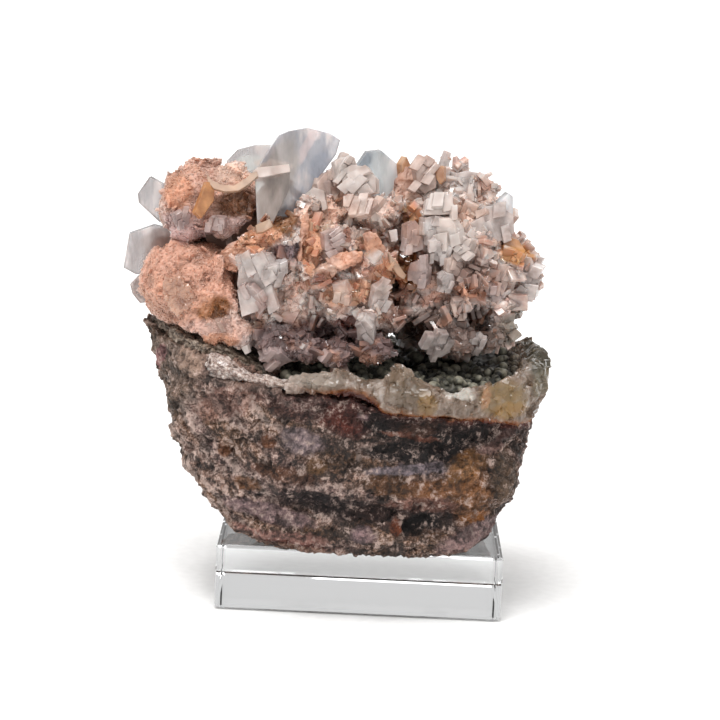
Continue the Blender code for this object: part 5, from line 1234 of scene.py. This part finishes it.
class SPECIMEN_OT_crust(bpy.types.Operator):
    """Cover the shelf with dark spherules"""
    bl_idname = "specimen.crust"
    bl_label = "Botryoidal crust"

    def execute(self, context):
        rng = np.random.default_rng(SEED)
        crust = cad_copy("botryoidal_crust", "crust_bed")
        modify(crust, "REMESH", mode="VOXEL", voxel_size=CRUST_VOXEL * MM)
        patch_relief(crust, CRUST_HOLLOWS)
        roughen(crust, -0.3, [("pebble", 1.2, 0.3), ("facet", 1.0, 0.4), ("facet", 2.6, 0.7)])
        crust.data.shade_flat()
        places, normals = scatter(crust.data, SPHERULES * 2, rng)
        rocky = places[:, 0] < CRUST_ROCKY_LEFT * MM
        upper = (normals[:, 2] > 0.3) & (~rocky | (rng.random(len(places)) < 0.15))
        places, normals = places[upper], normals[upper]
        bpy.ops.object.select_all(action="DESELECT")
        bpy.ops.mesh.primitive_ico_sphere_add(subdivisions=2, radius=1.0)
        ball = template_of(context.object)
        radii = rng.uniform(*SPHERULE_RADIUS, len(places)) * MM
        sizes = np.repeat(radii[:, None], 3, axis=1)
        points, triangles = repeat(ball, places + normals * (0.35 * radii)[:, None], frames_about(normals, rng), sizes)
        # Each ball's own height becomes its relief, which paints light on its top and shade at its foot.
        heights = np.tile(0.5 * ball[0][:, 2], len(places))
        spherules = object_from("spherules", [(points, triangles, heights)])
        spherules.data.attributes["tint"].name = "relief"
        spherules.data.shade_smooth()
        # The bed is painted nearly black in its hollows, as shade between the balls; the balls are painted lighter on
        # top.
        dress(crust, dark_spherules("bed", 0.05, 0.8), "dark_spherules", "botryoidal_crust")
        dress(spherules, dark_spherules("balls", 0.15, 1.5), "dark_spherules", "botryoidal_crust")
        return {"FINISHED"}


class SPECIMEN_OT_masses(bpy.types.Operator):
    """Roughen the baryte masses and grow their small crystals"""
    bl_idname = "specimen.masses"
    bl_label = "Baryte masses"

    def execute(self, context):
        size = context.scene.specimen.druse_size
        rng = np.random.default_rng(SEED + 1)
        templates = {kind: crystal_template(kind) for kind in ("tablet", "rhomb", "block", "grain")}
        bed_material = crystal_mass()
        druse_material = small_crystals()
        for node_name, runs in DRUSE.items():
            label = node_name.replace("baryte_", "").replace("_cluster", "")
            slot = "stained_baryte" if label in SUGARY else "pink_baryte"
            bed = cad_copy(node_name, f"{label}_bed")
            hang_lumps(bed, MASS_LUMPS[label])
            modify(bed, "REMESH", mode="VOXEL", voxel_size=MASS_VOXEL * MM)
            modify(bed, "SMOOTH", factor=0.5, iterations=MASS_SMOOTHED[label])
            patch_relief(bed, BARYTE_PATCHES)
            roughen(bed, -MASS_SUNK[label], [("facet", 4.0, 0.8), ("facet", 1.5, 0.4), ("swell", 2.5, 0.3),
                                             ("facet", 0.7, 0.2)])
            bed.data.shade_flat()
            batches = []
            for kind, count, shortest, longest, lean, order in runs:
                places, normals = scatter(bed.data, count, rng)
                lengths = rng.uniform(shortest, longest, count) * size * MM
                widths = rng.uniform(0.75, 1.25, (count, 2))
                sizes = np.stack([lengths * widths[:, 0], lengths * widths[:, 1], lengths], axis=1)
                frames = growth_frames(places, normals, lean, order, rng)
                points, triangles = repeat(templates[kind], places, frames, sizes)
                tints = np.repeat(rng.uniform(0.27, 0.75, count), len(templates[kind][0]))
                tints += np.tile(TIP_PALER * (templates[kind][0][:, 2] - 0.4), count)
                batches.append((points, triangles, tints))
            druse = object_from(f"{label}_druse", batches)
            dress(bed, bed_material, slot, node_name)
            dress(druse, bed_material if label in SUGARY else druse_material, slot, node_name)
        return {"FINISHED"}


class SPECIMEN_PT_panel(bpy.types.Panel):
    """The specimen's settings and the steps that build it"""
    bl_idname = "SPECIMEN_PT_panel"
    bl_label = "Baryte and Fluorite Specimen"
    bl_space_type = "VIEW_3D"
    bl_region_type = "UI"
    bl_category = "Specimen"

    def draw(self, context):
        settings = context.scene.specimen
        for name in ("block_arris", "rock_grain", "druse_size", "light_power", "sky_colour"):
            self.layout.prop(settings, name)
        for step in STEPS:
            self.layout.operator(step.bl_idname)


STEPS = (SPECIMEN_OT_stage, SPECIMEN_OT_block, SPECIMEN_OT_blades, SPECIMEN_OT_plates, SPECIMEN_OT_rock,
         SPECIMEN_OT_rim, SPECIMEN_OT_crust, SPECIMEN_OT_masses)
CLASSES = (SPECIMEN_PG_settings, *STEPS, SPECIMEN_PT_panel)


def register():
    for kind in CLASSES:
        bpy.utils.register_class(kind)
    bpy.types.Scene.specimen = bpy.props.PointerProperty(type=SPECIMEN_PG_settings)


def unregister():
    del bpy.types.Scene.specimen
    for kind in reversed(CLASSES):
        bpy.utils.unregister_class(kind)


def main():
    register()
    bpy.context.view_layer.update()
    bpy.ops.specimen.stage()
    bpy.ops.specimen.block()
    bpy.ops.specimen.blades()
    bpy.ops.specimen.plates()
    bpy.ops.specimen.rock()
    bpy.ops.specimen.rim()
    bpy.ops.specimen.crust()
    bpy.ops.specimen.masses()


if __name__ == "__main__":
    main()
